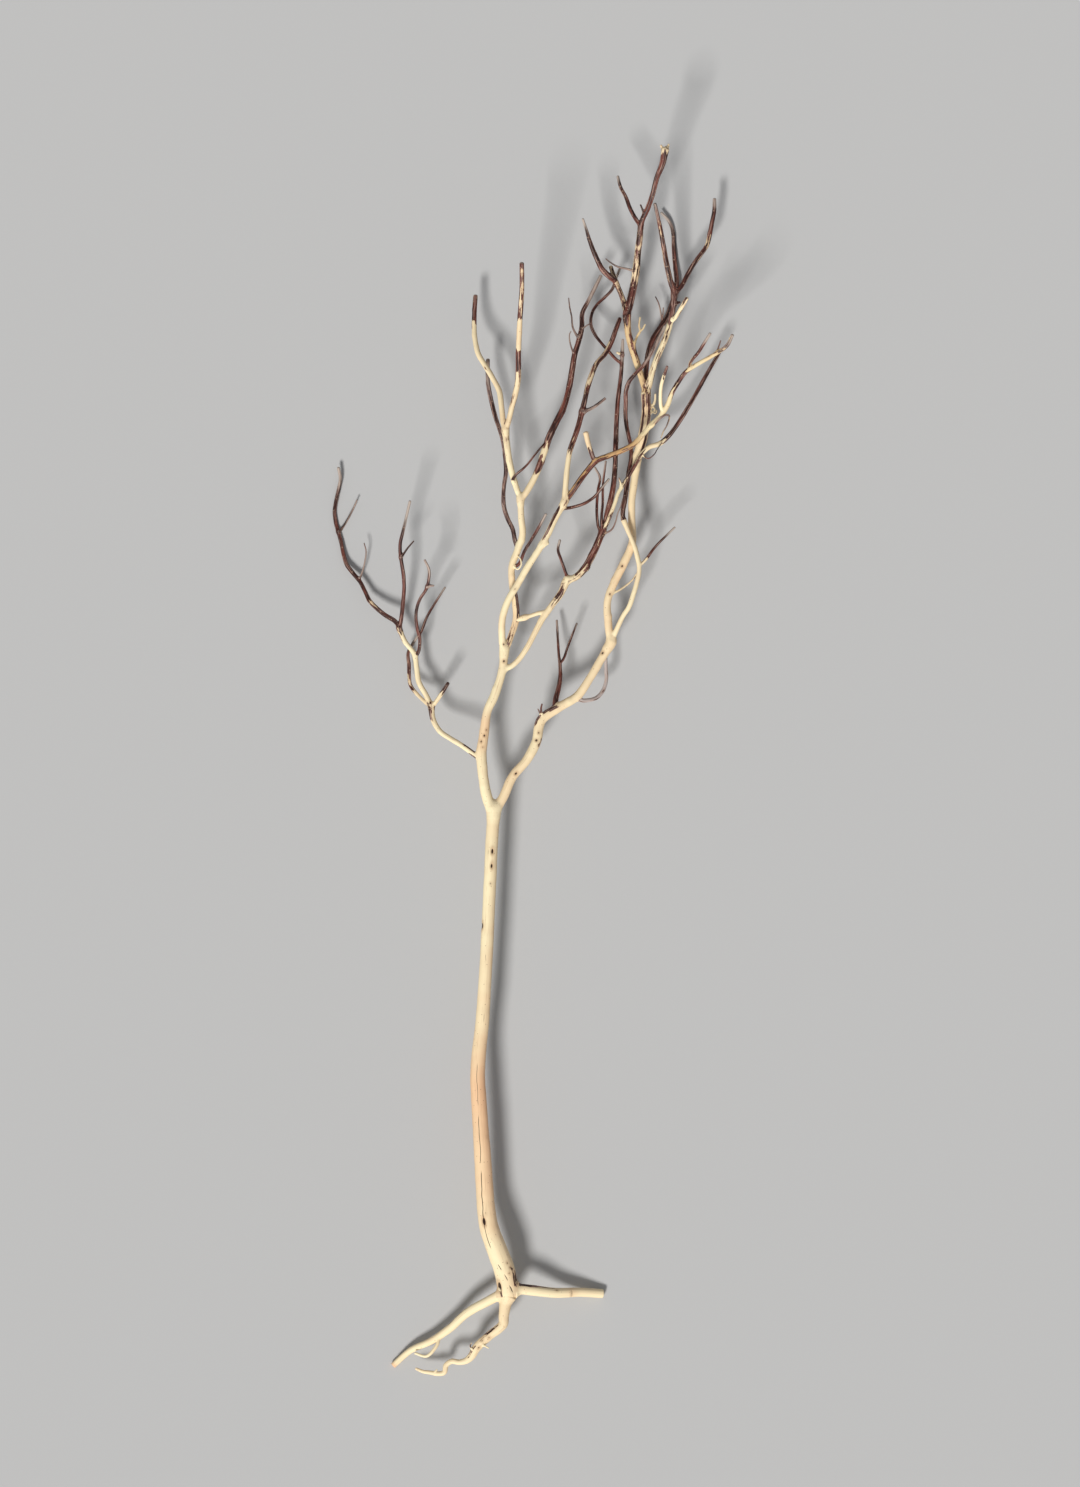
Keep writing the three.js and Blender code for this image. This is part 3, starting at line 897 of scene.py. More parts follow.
class TubeMesh:
    """Arrays of a swept mesh, for shaping it and writing it back."""

    def __init__(self, obj: bpy.types.Object) -> None:
        """Reads the arrays of the object.

        Args:
            obj: swept mesh object.
        """
        self.mesh = obj.data
        count = len(self.mesh.vertices)
        raw = np.zeros(count * 3, np.float32)
        self.mesh.vertices.foreach_get("co", raw)
        self.points = raw.reshape(-1, 3).astype(float)
        self.axis = self._read("axis", 3)
        self.along = self._read("along", 1)
        self.strand = self._read("strand", 1)
        self.out = unit(self.points - self.axis)

    def _read(self, name: str, width: int) -> np.ndarray:
        """Reads a point attribute.

        Args:
            name: attribute.
            width: numbers for each point, 1 or 3.

        Returns:
            (n,) or (n, 3) array.
        """
        data = self.mesh.attributes[name].data
        raw = np.zeros(len(data) * width, np.float32)
        data.foreach_get("vector" if width == 3 else "value", raw)
        return raw.reshape(-1, width).astype(float) if width == 3 else raw.astype(float)

    def radius(self) -> np.ndarray:
        """Distance of every point from the axis."""
        return np.linalg.norm(self.points - self.axis, axis=1)

    def store(self, name: str, values: np.ndarray) -> None:
        """Writes a point attribute, one number or one vector for each point.

        Args:
            name: attribute.
            values: (n,) or (n, 3) array.
        """
        wide = values.ndim == 2
        old = self.mesh.attributes.get(name)
        if old is not None:
            self.mesh.attributes.remove(old)
        made = self.mesh.attributes.new(name, "FLOAT_VECTOR" if wide else "FLOAT", "POINT")
        made.data.foreach_set("vector" if wide else "value", values.astype(np.float32).ravel())

    def write(self) -> None:
        """Puts the moved points back and clears the attributes used only while building."""
        self.mesh.vertices.foreach_set("co", self.points.astype(np.float32).ravel())
        for name in ("axis", "girth", "strand"):
            if name in self.mesh.attributes:
                self.mesh.attributes.remove(self.mesh.attributes[name])
        self.mesh.update()


# ---------------------------------------------------------------------------------------------------------
# Growing a limb
# ---------------------------------------------------------------------------------------------------------


@dataclass(frozen=True)
class Habit:
    """How limbs of one sub-assembly are meshed and roughened.

    Attributes:
        fine_mm: largest distance between rings.
        side_mm: wanted width of a facet.
        collar: fillet at a fork as a share of the thinner limb's radius.
        lumps: irregularity of the girth as a share of the radius.
        swelling: swelling at a bud scar as a share of the radius.
        scar_mm: mean distance between bud scars.
    """

    fine_mm: float = 1.1
    side_mm: float = 0.9
    collar: float = 1.1
    lumps: float = 0.07
    swelling: float = 0.13
    scar_mm: float = 24.0


class Grown:
    """A limb while it is grown: its description and its spine.

    The body is a coarser spine, in steps of BODY_STEP, that its neighbours are welded to.
    """

    BODY_STEP = 3.0 * MM
    LONG_FOOT = 6.0 * MM
    SHORT_FOOT = 1.2 * MM
    FIRST_SCAR = 9.0 * MM
    LAST_SCAR = 4.0 * MM

    def __init__(self, limb: Limb, parent: "Grown | None", habit: Habit, seed: int) -> None:
        """Reads the CAD node and prepares the spine.

        Args:
            limb: description.
            parent: grown parent.
            habit: how it is meshed.
            seed: seed of its irregularities.
        """
        self.limb, self.parent, self.habit = limb, parent, habit
        self.rng = np.random.default_rng(SEED + seed)
        self.noise = ValueNoise(SEED + 7 * seed)
        read = RingWalk(frame["nodes"][limb.name]).read()
        self.spine = self._rooted(read).smooth(habit.fine_mm * MM)
        self.body = self.spine.smooth(self.BODY_STEP)
        self.start = self.spine.nearest(self.joint)

    def _rooted(self, read: Spine) -> Spine:
        """Carries the spine down into the parent's axis.

        Args:
            read: spine that the CAD solid shows.

        Returns:
            The spine with its hidden foot.
        """
        self.joint = read.points[0]
        if self.parent is None:
            return read
        host = self.parent.body
        start, girth = read.points[0], float(read.radii[0])
        ahead = unit(read.points[1] - start)
        reach = float(np.linalg.norm(host.at(host.nearest(start))[0] - start))
        at = host.nearest(start - ahead * reach)
        joint, _, thick = host.at(at)
        self.joint = joint
        deep = host.at(at - 1.3 * girth)[0]
        slim = min(girth, 0.92 * thick)
        chord = float(np.linalg.norm(joint - start))
        extra, sizes = [deep, joint], [0.8 * slim, slim]
        if chord > self.LONG_FOOT:
            bend = 0.5 * (start + joint) - 0.18 * chord * (ahead - unit(start - joint))
            extra.append(bend)
            sizes.append(0.5 * (slim + girth))
        elif chord < self.SHORT_FOOT:
            extra, sizes = [deep], [0.85 * slim]
        return Spine(np.vstack(extra + [read.points]), np.concatenate([sizes, read.radii]))

    def share(self, along: np.ndarray) -> np.ndarray:
        """Share of the limb's length at distances along the spine."""
        return np.clip((along - self.start) / max(self.spine.length - self.start, 1e-6), 0.0, 1.0)

    def place(self, share: float) -> tuple[np.ndarray, np.ndarray, float]:
        """Point, direction and radius at a share of the limb's length."""
        return self.spine.at(self.start + share * (self.spine.length - self.start))

    def scars(self) -> list[tuple[float, np.ndarray, float]]:
        """Bud scars along the limb.

        Returns:
            For each: distance along the spine, the side that it stands on and its strength.
        """
        found = []
        at = self.start + self.FIRST_SCAR
        while at < self.spine.length - self.LAST_SCAR:
            found.append((at, unit(self.rng.normal(size=3)), float(self.rng.uniform(0.4, 1.3))))
            at += self.habit.scar_mm * MM * self.rng.uniform(0.5, 1.6)
        return found


def closed(s: Spine, end: End) -> Spine:
    """Adds shrinking rings at both ends of a spine.

    Args:
        s: spine to close.
        end: shape of its tip.

    Returns:
        The longer spine.
    """
    shares = np.array([0.35, 0.62, 0.82, 0.94])
    sizes = np.sqrt(1.0 - shares**2)
    tip, foot = s.radii[-1], s.radii[0]
    ahead, back = unit(s.points[-1] - s.points[-2]), unit(s.points[0] - s.points[1])
    ends = s.points[-1] + np.outer(shares * end.value * tip, ahead)
    feet = s.points[0] + np.outer(shares[::-1] * End.ROUNDED.value * foot, back)
    radii = np.concatenate([sizes[::-1] * foot, s.radii, sizes * tip])
    out = Spine(np.vstack([feet, s.points, ends]), radii)
    out.along -= out.along[len(feet)]
    return out


SIBLING_REACH = 2.5


@dataclass
class Branch:
    """Everything that the sub-assemblies share while the branch is grown.

    Attributes:
        tree: sweep tree.
        materials: material of each slot.
        grown: grown limbs by name.
    """

    tree: SweepTree
    materials: dict[Wood, bpy.types.Material]
    grown: dict[str, Grown] = field(default_factory=dict)

    def kin(self, one: Grown) -> list[tuple[Spine, float, np.ndarray]]:
        """Limbs that meet a limb at a fork.

        Args:
            one: the limb.

        Returns:
            For each: its spine, the fillet of that fork and the place of the fork.
        """
        found = []
        for other in self.grown.values():
            fork = None if other is one else self._fork(one, other)
            if fork is not None:
                thin = min(body.at(body.nearest(fork))[2] for body in (one.body, other.body))
                found.append((other.body, one.habit.collar * thin, fork))
        return found

    @staticmethod
    def _fork(one: Grown, other: Grown) -> np.ndarray | None:
        """Finds the fork where two limbs meet: parent and child, or two children of one fork.

        Args:
            one: a limb.
            other: another limb.

        Returns:
            The place of the fork, or None if they don't meet.
        """
        if other.parent is one:
            return other.joint
        if one.parent is other:
            return one.joint
        if one.parent is not None and one.parent is other.parent:
            near = SIBLING_REACH * (one.spine.radii[1] + other.spine.radii[1])
            if np.linalg.norm(one.joint - other.joint) < near:
                return other.joint
        return None


class LimbMesh:
    """Builds the shown mesh of one grown limb with its twigs, marks and attributes.

    TWIG_STEP is the distance between a twig's rings, and a twig's foot flares by FLARE over FLARE_RUN.
    USUAL_BARK is the bark cover of each slot where a limb names none. UNDER is how far down a limb's flank
    its marks may reach, in radii below its axis.
    """

    SIDES = (12, 80)
    TWIG_STEP = 0.9 * MM
    FLARE = 0.45
    FLARE_RUN = 1.6 * MM
    UNDER = 0.2
    USUAL_BARK = {Wood.STRIPPED: 0.04, Wood.TAN: 0.06, Wood.BARK: 0.97, Wood.WEATHERED: 0.35}

    def __init__(self, branch: Branch, grown: Grown) -> None:
        """Sweeps the limb and its twigs.

        Args:
            branch: what is shared.
            grown: the limb.
        """
        self.branch, self.grown, self.limb = branch, grown, grown.limb
        self.twigs = [self._twig_spine(t) for t in self.limb.twigs]
        spines = [closed(grown.spine, self.limb.end)] + [closed(t, End.ROUNDED) for t in self.twigs]
        mean = float(np.mean(grown.spine.radii))
        sides = int(np.clip(round(2.0 * math.pi * mean / (grown.habit.side_mm * MM)), *self.SIDES))
        material = branch.materials[self.limb.wood]
        self.obj = branch.tree.sweep(f"{self.limb.name}_wood", spines, sides, material)
        self.tube = TubeMesh(self.obj)
        self.main = self.tube.strand < 0.5

    def _twig_spine(self, twig: Twig) -> Spine:
        """Draws a small twig that is rooted in the limb's axis.

        Args:
            twig: its description.

        Returns:
            Its spine, with a flared foot.
        """
        foot, _, bulk = self.grown.place(twig.share)
        route = np.vstack([foot, foot + np.array(twig.steps) * MM])
        shares = np.linspace(0.0, 1.0, len(route))
        radii = 0.5 * MM * (twig.width_mm + (twig.tip_mm - twig.width_mm) * shares)
        raw = Spine(route, radii).smooth(self.TWIG_STEP)
        flare = 1.0 + self.FLARE * np.exp(-np.maximum(raw.along - bulk, 0.0) / self.FLARE_RUN)
        return Spine(raw.points, raw.radii * flare)

    def build(self) -> bpy.types.Object:
        """Shapes the mesh and dresses it.

        Returns:
            The finished object.
        """
        self._lumps()
        self._marks()
        self._collars()
        self._covers()
        self.tube.write()
        return self.obj

    def _lumps(self) -> None:
        """Makes the girth gently uneven and raises the bud scars."""
        t, grown, habit = self.tube, self.grown, self.grown.habit
        broad, fine = (grown.noise.at(t.points / (cell * MM)) for cell in (16.0, 6.0))
        swell = habit.lumps * (broad + 0.5 * fine)
        for at, side, strength in grown.scars():
            down = (t.along - at) / (1.1 * MM + 0.4 * grown.spine.at(at)[2])
            facing = np.clip(0.35 + 0.65 * (t.out @ side), 0.0, 1.0)
            swell += self.main * habit.swelling * strength * np.exp(-(down**2)) * facing**2
        t.points += t.out * (t.radius() * swell)[:, None]

    def _lie(self) -> tuple[np.ndarray, np.ndarray]:
        """Works out where every point lies on its ring, seen from above.

        Returns:
            Millimetres to the right of the middle line, and the height above the axis in metres.
        """
        t, spine = self.tube, self.grown.spine
        run = rows_at(t.along, spine.along, unit(np.gradient(spine.points, axis=0)))
        right = unit(np.cross(run, UP))
        offset = t.points - t.axis
        return np.sum(offset * right, axis=1) / MM, np.sum(offset * np.cross(right, run), axis=1)

    def _marks(self) -> None:
        """Carves knots and cracks and stores the distance to the nearest."""
        t, grown = self.tube, self.grown
        count = len(t.points)
        self.mark, self.stain, self.halo = np.full(count, FAR_MM), np.ones(count), np.zeros(count)
        self.crack, self.cleft = np.full(count, FAR_MM), np.zeros(count)
        push = np.zeros(count)
        side, height = self._lie()
        upper = self.main & (height > -self.UNDER * t.radius())
        span = (grown.spine.length - grown.start) / MM
        place = grown.share(t.along) * span
        for knot in self.limb.knots:
            across = (side - knot.side_mm) / (0.5 * knot.width_mm)
            down = (place - knot.share * span) / (0.5 * knot.length_mm)
            gap = (np.hypot(across, down) - 1.0) * 0.5 * min(knot.length_mm, knot.width_mm)
            gap = np.where(upper, gap, FAR_MM)
            push -= knot.depth_mm * MM * (1.0 - smoothstep(-0.45, 0.55, gap))
            push += 0.22 * abs(knot.depth_mm) * MM * np.exp(-(((gap - 0.9) / 0.8) ** 2))
            self.halo = np.maximum(self.halo, 0.55 * knot.stain * (1.0 - smoothstep(0.0, 2.2, gap)))
            self.stain = np.where(gap < self.mark, knot.stain, self.stain)
            self.mark = np.minimum(gap, self.mark)
        for crack in self.limb.cracks:
            push -= self._open(crack, place, side, span, upper)
        t.points += t.out * push[:, None]

    def _open(
        self, crack: Crack, place: np.ndarray, side: np.ndarray, span: float, upper: np.ndarray
    ) -> np.ndarray:
        """Opens a drying crack and stores the signed distance to it with its half width.

        Args:
            crack: the crack.
            place: millimetres along the limb.
            side: millimetres to the right of the limb's middle line.
            span: length of the limb in millimetres.
            upper: which points lie on the limb's upper face.

        Returns:
            Depth of the groove at every point, in metres.
        """
        line = np.array(sorted((share * span, at) for share, at in crack.path))
        first, last = line[0, 0], line[-1, 0]
        fade = min(6.0, 0.35 * (last - first))
        still = np.zeros(len(place))
        wander = 0.35 * self.grown.noise.at(np.stack([place / 6.0, still, still], axis=1))
        gap = side - np.interp(place, line[:, 0], line[:, 1]) - wander
        taper = smoothstep(first, first + fade, place) * smoothstep(last, last - fade, place)
        half = 0.5 * crack.width_mm * taper * upper
        mine = (half > 0.0) & (np.abs(gap) < np.abs(self.crack))
        self.crack = np.where(mine, gap, self.crack)
        self.cleft = np.where(mine, half, self.cleft)
        return crack.depth_mm * MM * taper * upper * np.exp(-((gap / (half + 0.5)) ** 2))

    def _collars(self) -> None:
        """Swells the surface into its neighbours at every fork."""
        own = self.grown.body
        for body, fillet, fork in self.branch.kin(self.grown):
            self._weld(self.main, own, body, fillet, fork)
        for i, twig in enumerate(self.twigs):
            fillet = 0.65 * float(twig.radii[-1] + twig.radii[0])
            self._weld(self.tube.strand == i + 1, twig, own, fillet, twig.points[0])
            self._weld(self.main, own, twig, fillet, twig.points[0])

    def _weld(self, chosen: np.ndarray, own: Spine, other: Spine, fillet: float, fork: np.ndarray) -> None:
        """Moves chosen points out to the smooth union of two limbs near their fork.

        Args:
            chosen: which points may move.
            own: spine of the limb that they belong to.
            other: spine of the limb that it meets.
            fillet: size of the fillet.
            fork: place of the fork.
        """
        t = self.tube
        reach = 8.0 * fillet + 5.0 * float(other.radii.max())
        at = np.nonzero(chosen & (np.linalg.norm(t.points - fork, axis=1) < reach))[0]
        if not len(at):
            return
        near_own, near_other = self._stretch(own, fork, reach), self._stretch(other, fork, reach)
        start = near_other.distance(t.points[at])
        weight = smoothstep(-0.9 * fillet, -0.3 * fillet, start)
        points = t.points[at].copy()
        lift = near_own.distance(points)
        for _ in range(4):
            a = near_own.distance(points) - lift
            b = near_other.distance(points)
            h = np.maximum(fillet - np.abs(a - b), 0.0) / fillet
            gap = np.minimum(a, b) - 0.25 * fillet * h * h
            move = np.clip(-gap, 0.0, 0.3 * fillet) * weight
            points += t.out[at] * move[:, None]
        a = near_own.distance(points) - lift
        b = near_other.distance(points)
        sink = 0.12 * MM * smoothstep(0.0, 0.25 * fillet, a - b) * (weight > 0.0)
        t.points[at] = points - t.out[at] * sink[:, None]

    @staticmethod
    def _stretch(spine: Spine, fork: np.ndarray, reach: float) -> Spine:
        """Cuts out the part of a spine near a fork.

        Args:
            spine: the whole spine.
            fork: place of the fork.
            reach: how far from the fork points may be moved.

        Returns:
            The part, or the whole where next to nothing is near.
        """
        close = np.nonzero(np.linalg.norm(spine.points - fork, axis=1) < 1.6 * reach + 6.0 * MM)[0]
        if len(close) < 2:
            return spine
        first, last = close[0], close[-1] + 1
        return Spine(spine.points[first:last], spine.radii[first:last])

    def _covers(self) -> None:
        """Stores the attributes that the finishes read."""
        t, limb, grown = self.tube, self.limb, self.grown
        share = grown.share(t.along)
        usual = self.USUAL_BARK[limb.wood]
        bark = self._along_stops(share + self._ragged(), limb.bark, usual)
        tan = self._along_stops(share, limb.tan, 0.75 if limb.wood is Wood.TAN else 0.08)
        # Painted shade: extra tan on the side towards +X, which is turned away from the sun.
        tan = np.clip(tan + limb.painted_side_shade * smoothstep(-0.3, 0.9, t.out[:, 0]), 0.0, 1.0)
        bark = np.clip(bark + self._patches(share + 0.7 * self._ragged()), 0.0, 1.0)
        for i, twig in enumerate(limb.twigs):
            mine = t.strand == i + 1
            grows = smoothstep(0.5 * MM, 4.0 * MM, t.along[mine] - grown.place(twig.share)[2])
            host = float(np.interp(twig.share, *zip(*limb.bark))) if limb.bark else usual
            bark[mine] = host + (twig.bark - host) * grows
            tan[mine] = 0.1
        covers = {
            "bark": bark, "tan": tan, "mark": self.mark, "stain": self.stain, "halo": self.halo,
            "crack": self.crack, "cleft": self.cleft, "dust": self._dust(share), "offset": t.points - t.axis,
            "along": t.along + grown.rng.uniform(0.0, 4.0) + 0.3 * t.strand,
        }
        for name, values in covers.items():
            t.store(name, values)

    def _ragged(self) -> np.ndarray:
        """Works out how far the bark's borders stray along the limb.

        Returns:
            The shift at every point, as a share of the limb's length.
        """
        t, noise = self.tube, self.grown.noise
        wide = noise.at(t.out * 1.6 + (t.along / (11.0 * MM))[:, None])
        fine = noise.at(t.out * 3.2 + (t.along / (4.0 * MM))[:, None] + 40.0)
        return (7.0 * wide + 4.0 * fine) * MM / self.grown.spine.length

    def _dust(self, share: np.ndarray) -> np.ndarray:
        """Greys the bark towards the thin ends.

        Args:
            share: place of every point along the limb.

        Returns:
            Grey at every point, 0 to 1.
        """
        if self.limb.wood is Wood.STRIPPED:
            return np.full(len(share), 0.25)
        thin = smoothstep(2.8 * MM, 1.0 * MM, self.tube.radius())
        worn = 0.10 + 0.75 * thin * smoothstep(0.6, 1.0, share) * self.grown.rng.uniform(0.4, 1.0)
        return np.where(self.main, worn, 0.35)

    @staticmethod
    def _along_stops(share: np.ndarray, stops: Stops, usual: float) -> np.ndarray:
        """Reads a value between stops.

        Args:
            share: place of every point along the limb.
            stops: (share, value) pairs.
            usual: the value where there are no stops.

        Returns:
            The value at every point.
        """
        if not stops:
            return np.full(len(share), usual)
        places, values = zip(*stops)
        return np.interp(share, places, values)

    def _patches(self, share: np.ndarray) -> np.ndarray:
        """Adds up the limb's bark patches.

        Args:
            share: place of every point along the limb.

        Returns:
            The cover that they add at every point.
        """
        side = self._lie()[0]
        total = np.zeros(len(share))
        for patch in self.limb.patches:
            middle, half = 0.5 * (patch.start + patch.end), 0.5 * (patch.end - patch.start)
            down = 1.0 - smoothstep(0.55, 1.2, np.abs(share - middle) / half)
            across = 1.0 - smoothstep(0.55, 1.25, np.abs(side - patch.side_mm) / (0.5 * patch.width_mm))
            total += patch.cover * down * across * self.main
        return total


# ---------------------------------------------------------------------------------------------------------
# Sub-assemblies
# ---------------------------------------------------------------------------------------------------------


@dataclass
class LimbGroup:
    """A sub-assembly: limbs that are grown with one habit.

    Attributes:
        habit: how its limbs are meshed and roughened.
        limbs: its limbs, parents first.
    """

    habit: Habit = Habit()
    limbs: tuple[Limb, ...] = ()

    def grow(self, branch: Branch) -> None:
        """Reads the spines of its limbs from the frame.

        Args:
            branch: what is shared; the limbs are added to it.
        """
        for limb in self.limbs:
            parent = branch.grown[limb.parent] if limb.parent else None
            branch.grown[limb.name] = Grown(limb, parent, self.habit, len(branch.grown) + 1)

    def build(self, branch: Branch) -> list[bpy.types.Object]:
        """Builds the shown mesh of every limb and hands it to the frame.

        Args:
            branch: what is shared.

        Returns:
            The finished objects.
        """
        made = []
        for limb in self.limbs:
            obj = LimbMesh(branch, branch.grown[limb.name]).build()
            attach(obj, "root")
            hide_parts(limb.name)
            LOG.info("%s: %d faces", obj.name, len(obj.data.polygons))
            made.append(obj)
        return made


@dataclass
class RootCrown(LimbGroup):
    """The stem and the roots at its foot.

    Attributes:
        habit: smoother and finer than the crown.
        scars: scars, holes and specks of the stem.
        cracks: drying cracks of the stem, from its middle to its foot.
        tan: tan tint along the stem.
        patches: bark left at the foot of the stem.
        limbs: the stem and four roots.
    """

    habit: Habit = Habit(fine_mm=1.0, side_mm=1.0, collar=1.0, lumps=0.035, swelling=0.02, scar_mm=60.0)
    scars: tuple[Knot, ...] = (
        Knot(0.914, 1.0, 4.6, 1.9, 0.9),
        Knot(0.884, 1.0, 4.0, 1.7, 0.8),
        Knot(0.912, -3.2, 5.0, 0.8, 0.2, 0.3),
        Knot(0.848, 0.6, 1.8, 1.3, 0.2, 0.5),
        Knot(0.76, -6.0, 5.0, 1.8, 0.4, 0.95),
        Knot(0.155, -3.8, 7.5, 2.8, 0.8),
        Knot(0.172, -0.8, 3.0, 1.1, 0.2, 0.45),
        Knot(0.016, -8.4, 9.0, 3.0, 1.3, 0.95),
        Knot(0.026, 8.8, 8.0, 2.4, 0.5, 0.5),
        Knot(0.06, 5.0, 1.6, 1.2, 0.1, 0.7),
        Knot(0.05, 6.4, 1.8, 1.3, 0.1, 0.7),
        Knot(0.04, 4.2, 1.4, 1.1, 0.1, 0.7),
    )
    cracks: tuple[Crack, ...] = (
        Crack(((0.482, -0.5), (0.455, -0.9), (0.42, -0.6), (0.388, -1.2)), 0.45, 0.2),
        Crack(((0.375, -1.4), (0.33, -1.8), (0.3, -1.7), (0.27, -2.4)), 0.6, 0.25),
        Crack(((0.262, -2.2), (0.22, -3.2), (0.19, -3.4), (0.155, -3.8)), 0.8, 0.35),
        Crack(((0.155, -3.8), (0.135, -4.4), (0.112, -5.2), (0.095, -5.4)), 0.65, 0.3),
        Crack(((0.066, -4.2), (0.057, -3.4), (0.048, -3.0)), 0.8, 0.3),
        Crack(((0.042, -1.6), (0.031, 0.2), (0.024, 0.8)), 0.8, 0.3),
        Crack(((0.018, 1.2), (0.01, 2.8), (-0.002, 3.8)), 1.1, 0.5),
        Crack(((0.705, -0.8), (0.685, -0.4)), 0.3, 0.06),
        Crack(((0.585, 1.0), (0.56, 1.4)), 0.3, 0.06),
    )
    tan: Stops = (
        (0.0, 0.15), (0.1, 0.1), (0.17, 0.32), (0.24, 0.5), (0.31, 0.6), (0.43, 0.75), (0.5, 0.45),
        (0.55, 0.2), (0.6, 0.25), (0.67, 0.1), (1.0, 0.04),
    )
    patches: tuple[Patch, ...] = (Patch(0.005, 0.045, 8.2, 5.0, 0.5), Patch(0.0, 0.03, -8.0, 3.0, 0.5))
    limbs: tuple[Limb, ...] = (
        Limb("trunk", None, knots=scars, cracks=cracks, tan=tan, patches=patches, painted_side_shade=0.28),
        Limb(
            "middle_root", "trunk",
            patches=(Patch(0.24, 0.42, 3.0, 3.4, 0.55), Patch(0.44, 0.56, 2.8, 3.0, 0.5)),
            tan=((0.0, 0.15), (1.0, 0.3)),
            knots=(
                Knot(0.36, -1.0, 1.6, 1.2, 0.2, 0.8),
                Knot(0.41, 1.0, 1.5, 1.1, 0.2, 0.8),
                Knot(0.46, -1.5, 1.8, 1.2, 0.3, 0.8),
            ),
            twigs=(
                Twig(0.43, ((2, -2, 3), (4, -3, 5), (7.5, -5, 6)), 2.4, 1.2, 0.0),
                Twig(0.5, ((-3, 2, 4), (-4.5, 5, 5), (-3, 8, 5)), 1.8, 0.9, 0.6),
                Twig(0.86, ((0, 2, 1), (1.5, 4, 1.5)), 2.2, 1.2, 0.0),
            ),
        ),
        Limb(
            "right_root", "trunk",
            end=End.CUT,
            tan=((0.0, 0.1), (0.55, 0.12), (0.66, 0.3), (0.76, 0.05), (1.0, 0.0)),
            knots=(Knot(0.66, 1.0, 2.2, 7.0, 0.3, 0.28), Knot(0.5, -2.8, 1.4, 1.0, 0.1, 0.7)),
            patches=(
                Patch(0.0, 0.35, -4.6, 3.6, 0.62),
                Patch(0.3, 0.62, -5.0, 2.4, 0.5),
                Patch(0.62, 0.98, -4.8, 1.4, 0.35),
            ),
        ),
        Limb(
            "left_root", "trunk",
            end=End.CUT,
            tan=((0.0, 0.1), (0.8, 0.15), (0.97, 0.2), (1.0, 0.9)),
            patches=(Patch(0.25, 0.6, 4.4, 1.8, 0.35),),
        ),
        Limb("left_rootlet", "left_root"),
    )


@dataclass
class LeftCrown(LimbGroup):
    """The limb that leans left, its shoot and leaders.

    Attributes:
        limbs: the limb, its shoot, two leaders, a fork and a spur.
    """

    limbs: tuple[Limb, ...] = (
        Limb(
            "left_limb", "centre_limb",
            bark=((0.0, 0.1), (0.25, 0.1), (0.72, 0.12), (0.82, 0.5), (1.0, 0.45)),
            patches=(Patch(0.05, 0.3, 2.2, 2.6, 0.8), Patch(0.0, 0.16, -2.6, 2.4, 0.7)),
        ),
        Limb(
            "left_shoot", "left_limb",
            bark=((0.0, 0.45), (0.12, 0.12), (0.55, 0.15), (0.8, 0.15), (0.9, 0.4), (1.0, 0.6)),
        ),
        Limb(
            "left_outer_leader", "left_shoot", Wood.BARK,
            bark=((0.0, 0.6), (0.2, 0.65), (0.35, 0.9), (1.0, 0.97)),
            twigs=(
                Twig(0.362, ((2, 2, 1), (5, 10, 2), (7, 19, 2), (8, 28, 3), (6, 36, 3)), 2.2, 1.1),
                Twig(0.647, ((2, 1, 1), (7, 8, 2), (12, 17, 3), (16, 25, 3), (19, 32, 4)), 2.6, 1.3),
            ),
        ),
        Limb(
            "left_inner_leader", "left_shoot", Wood.BARK,
            bark=((0.0, 0.75), (0.3, 0.8), (1.0, 0.97)),
            twigs=(Twig(0.555, ((2, 2, 1), (7, 9, 2), (13, 16, 3)), 2.6, 1.5),),
        ),
        Limb(
            "left_fork_shoot", "left_shoot", Wood.BARK,
            twigs=(Twig(0.725, ((3, 1, 1), (6.5, 1, 1.5)), 2.8, 1.8),),
        ),
        Limb("left_fork_twig", "left_fork_shoot", Wood.BARK),
        Limb(
            "left_under_shoot", "left_limb", Wood.BARK,
            bark=((0.0, 0.15), (0.24, 0.15), (0.36, 0.6), (0.6, 0.75), (1.0, 0.9)),
        ),
        Limb("left_spur", "left_limb", bark=((0.0, 0.4), (0.5, 0.35), (0.75, 0.8), (1.0, 0.8))),
    )


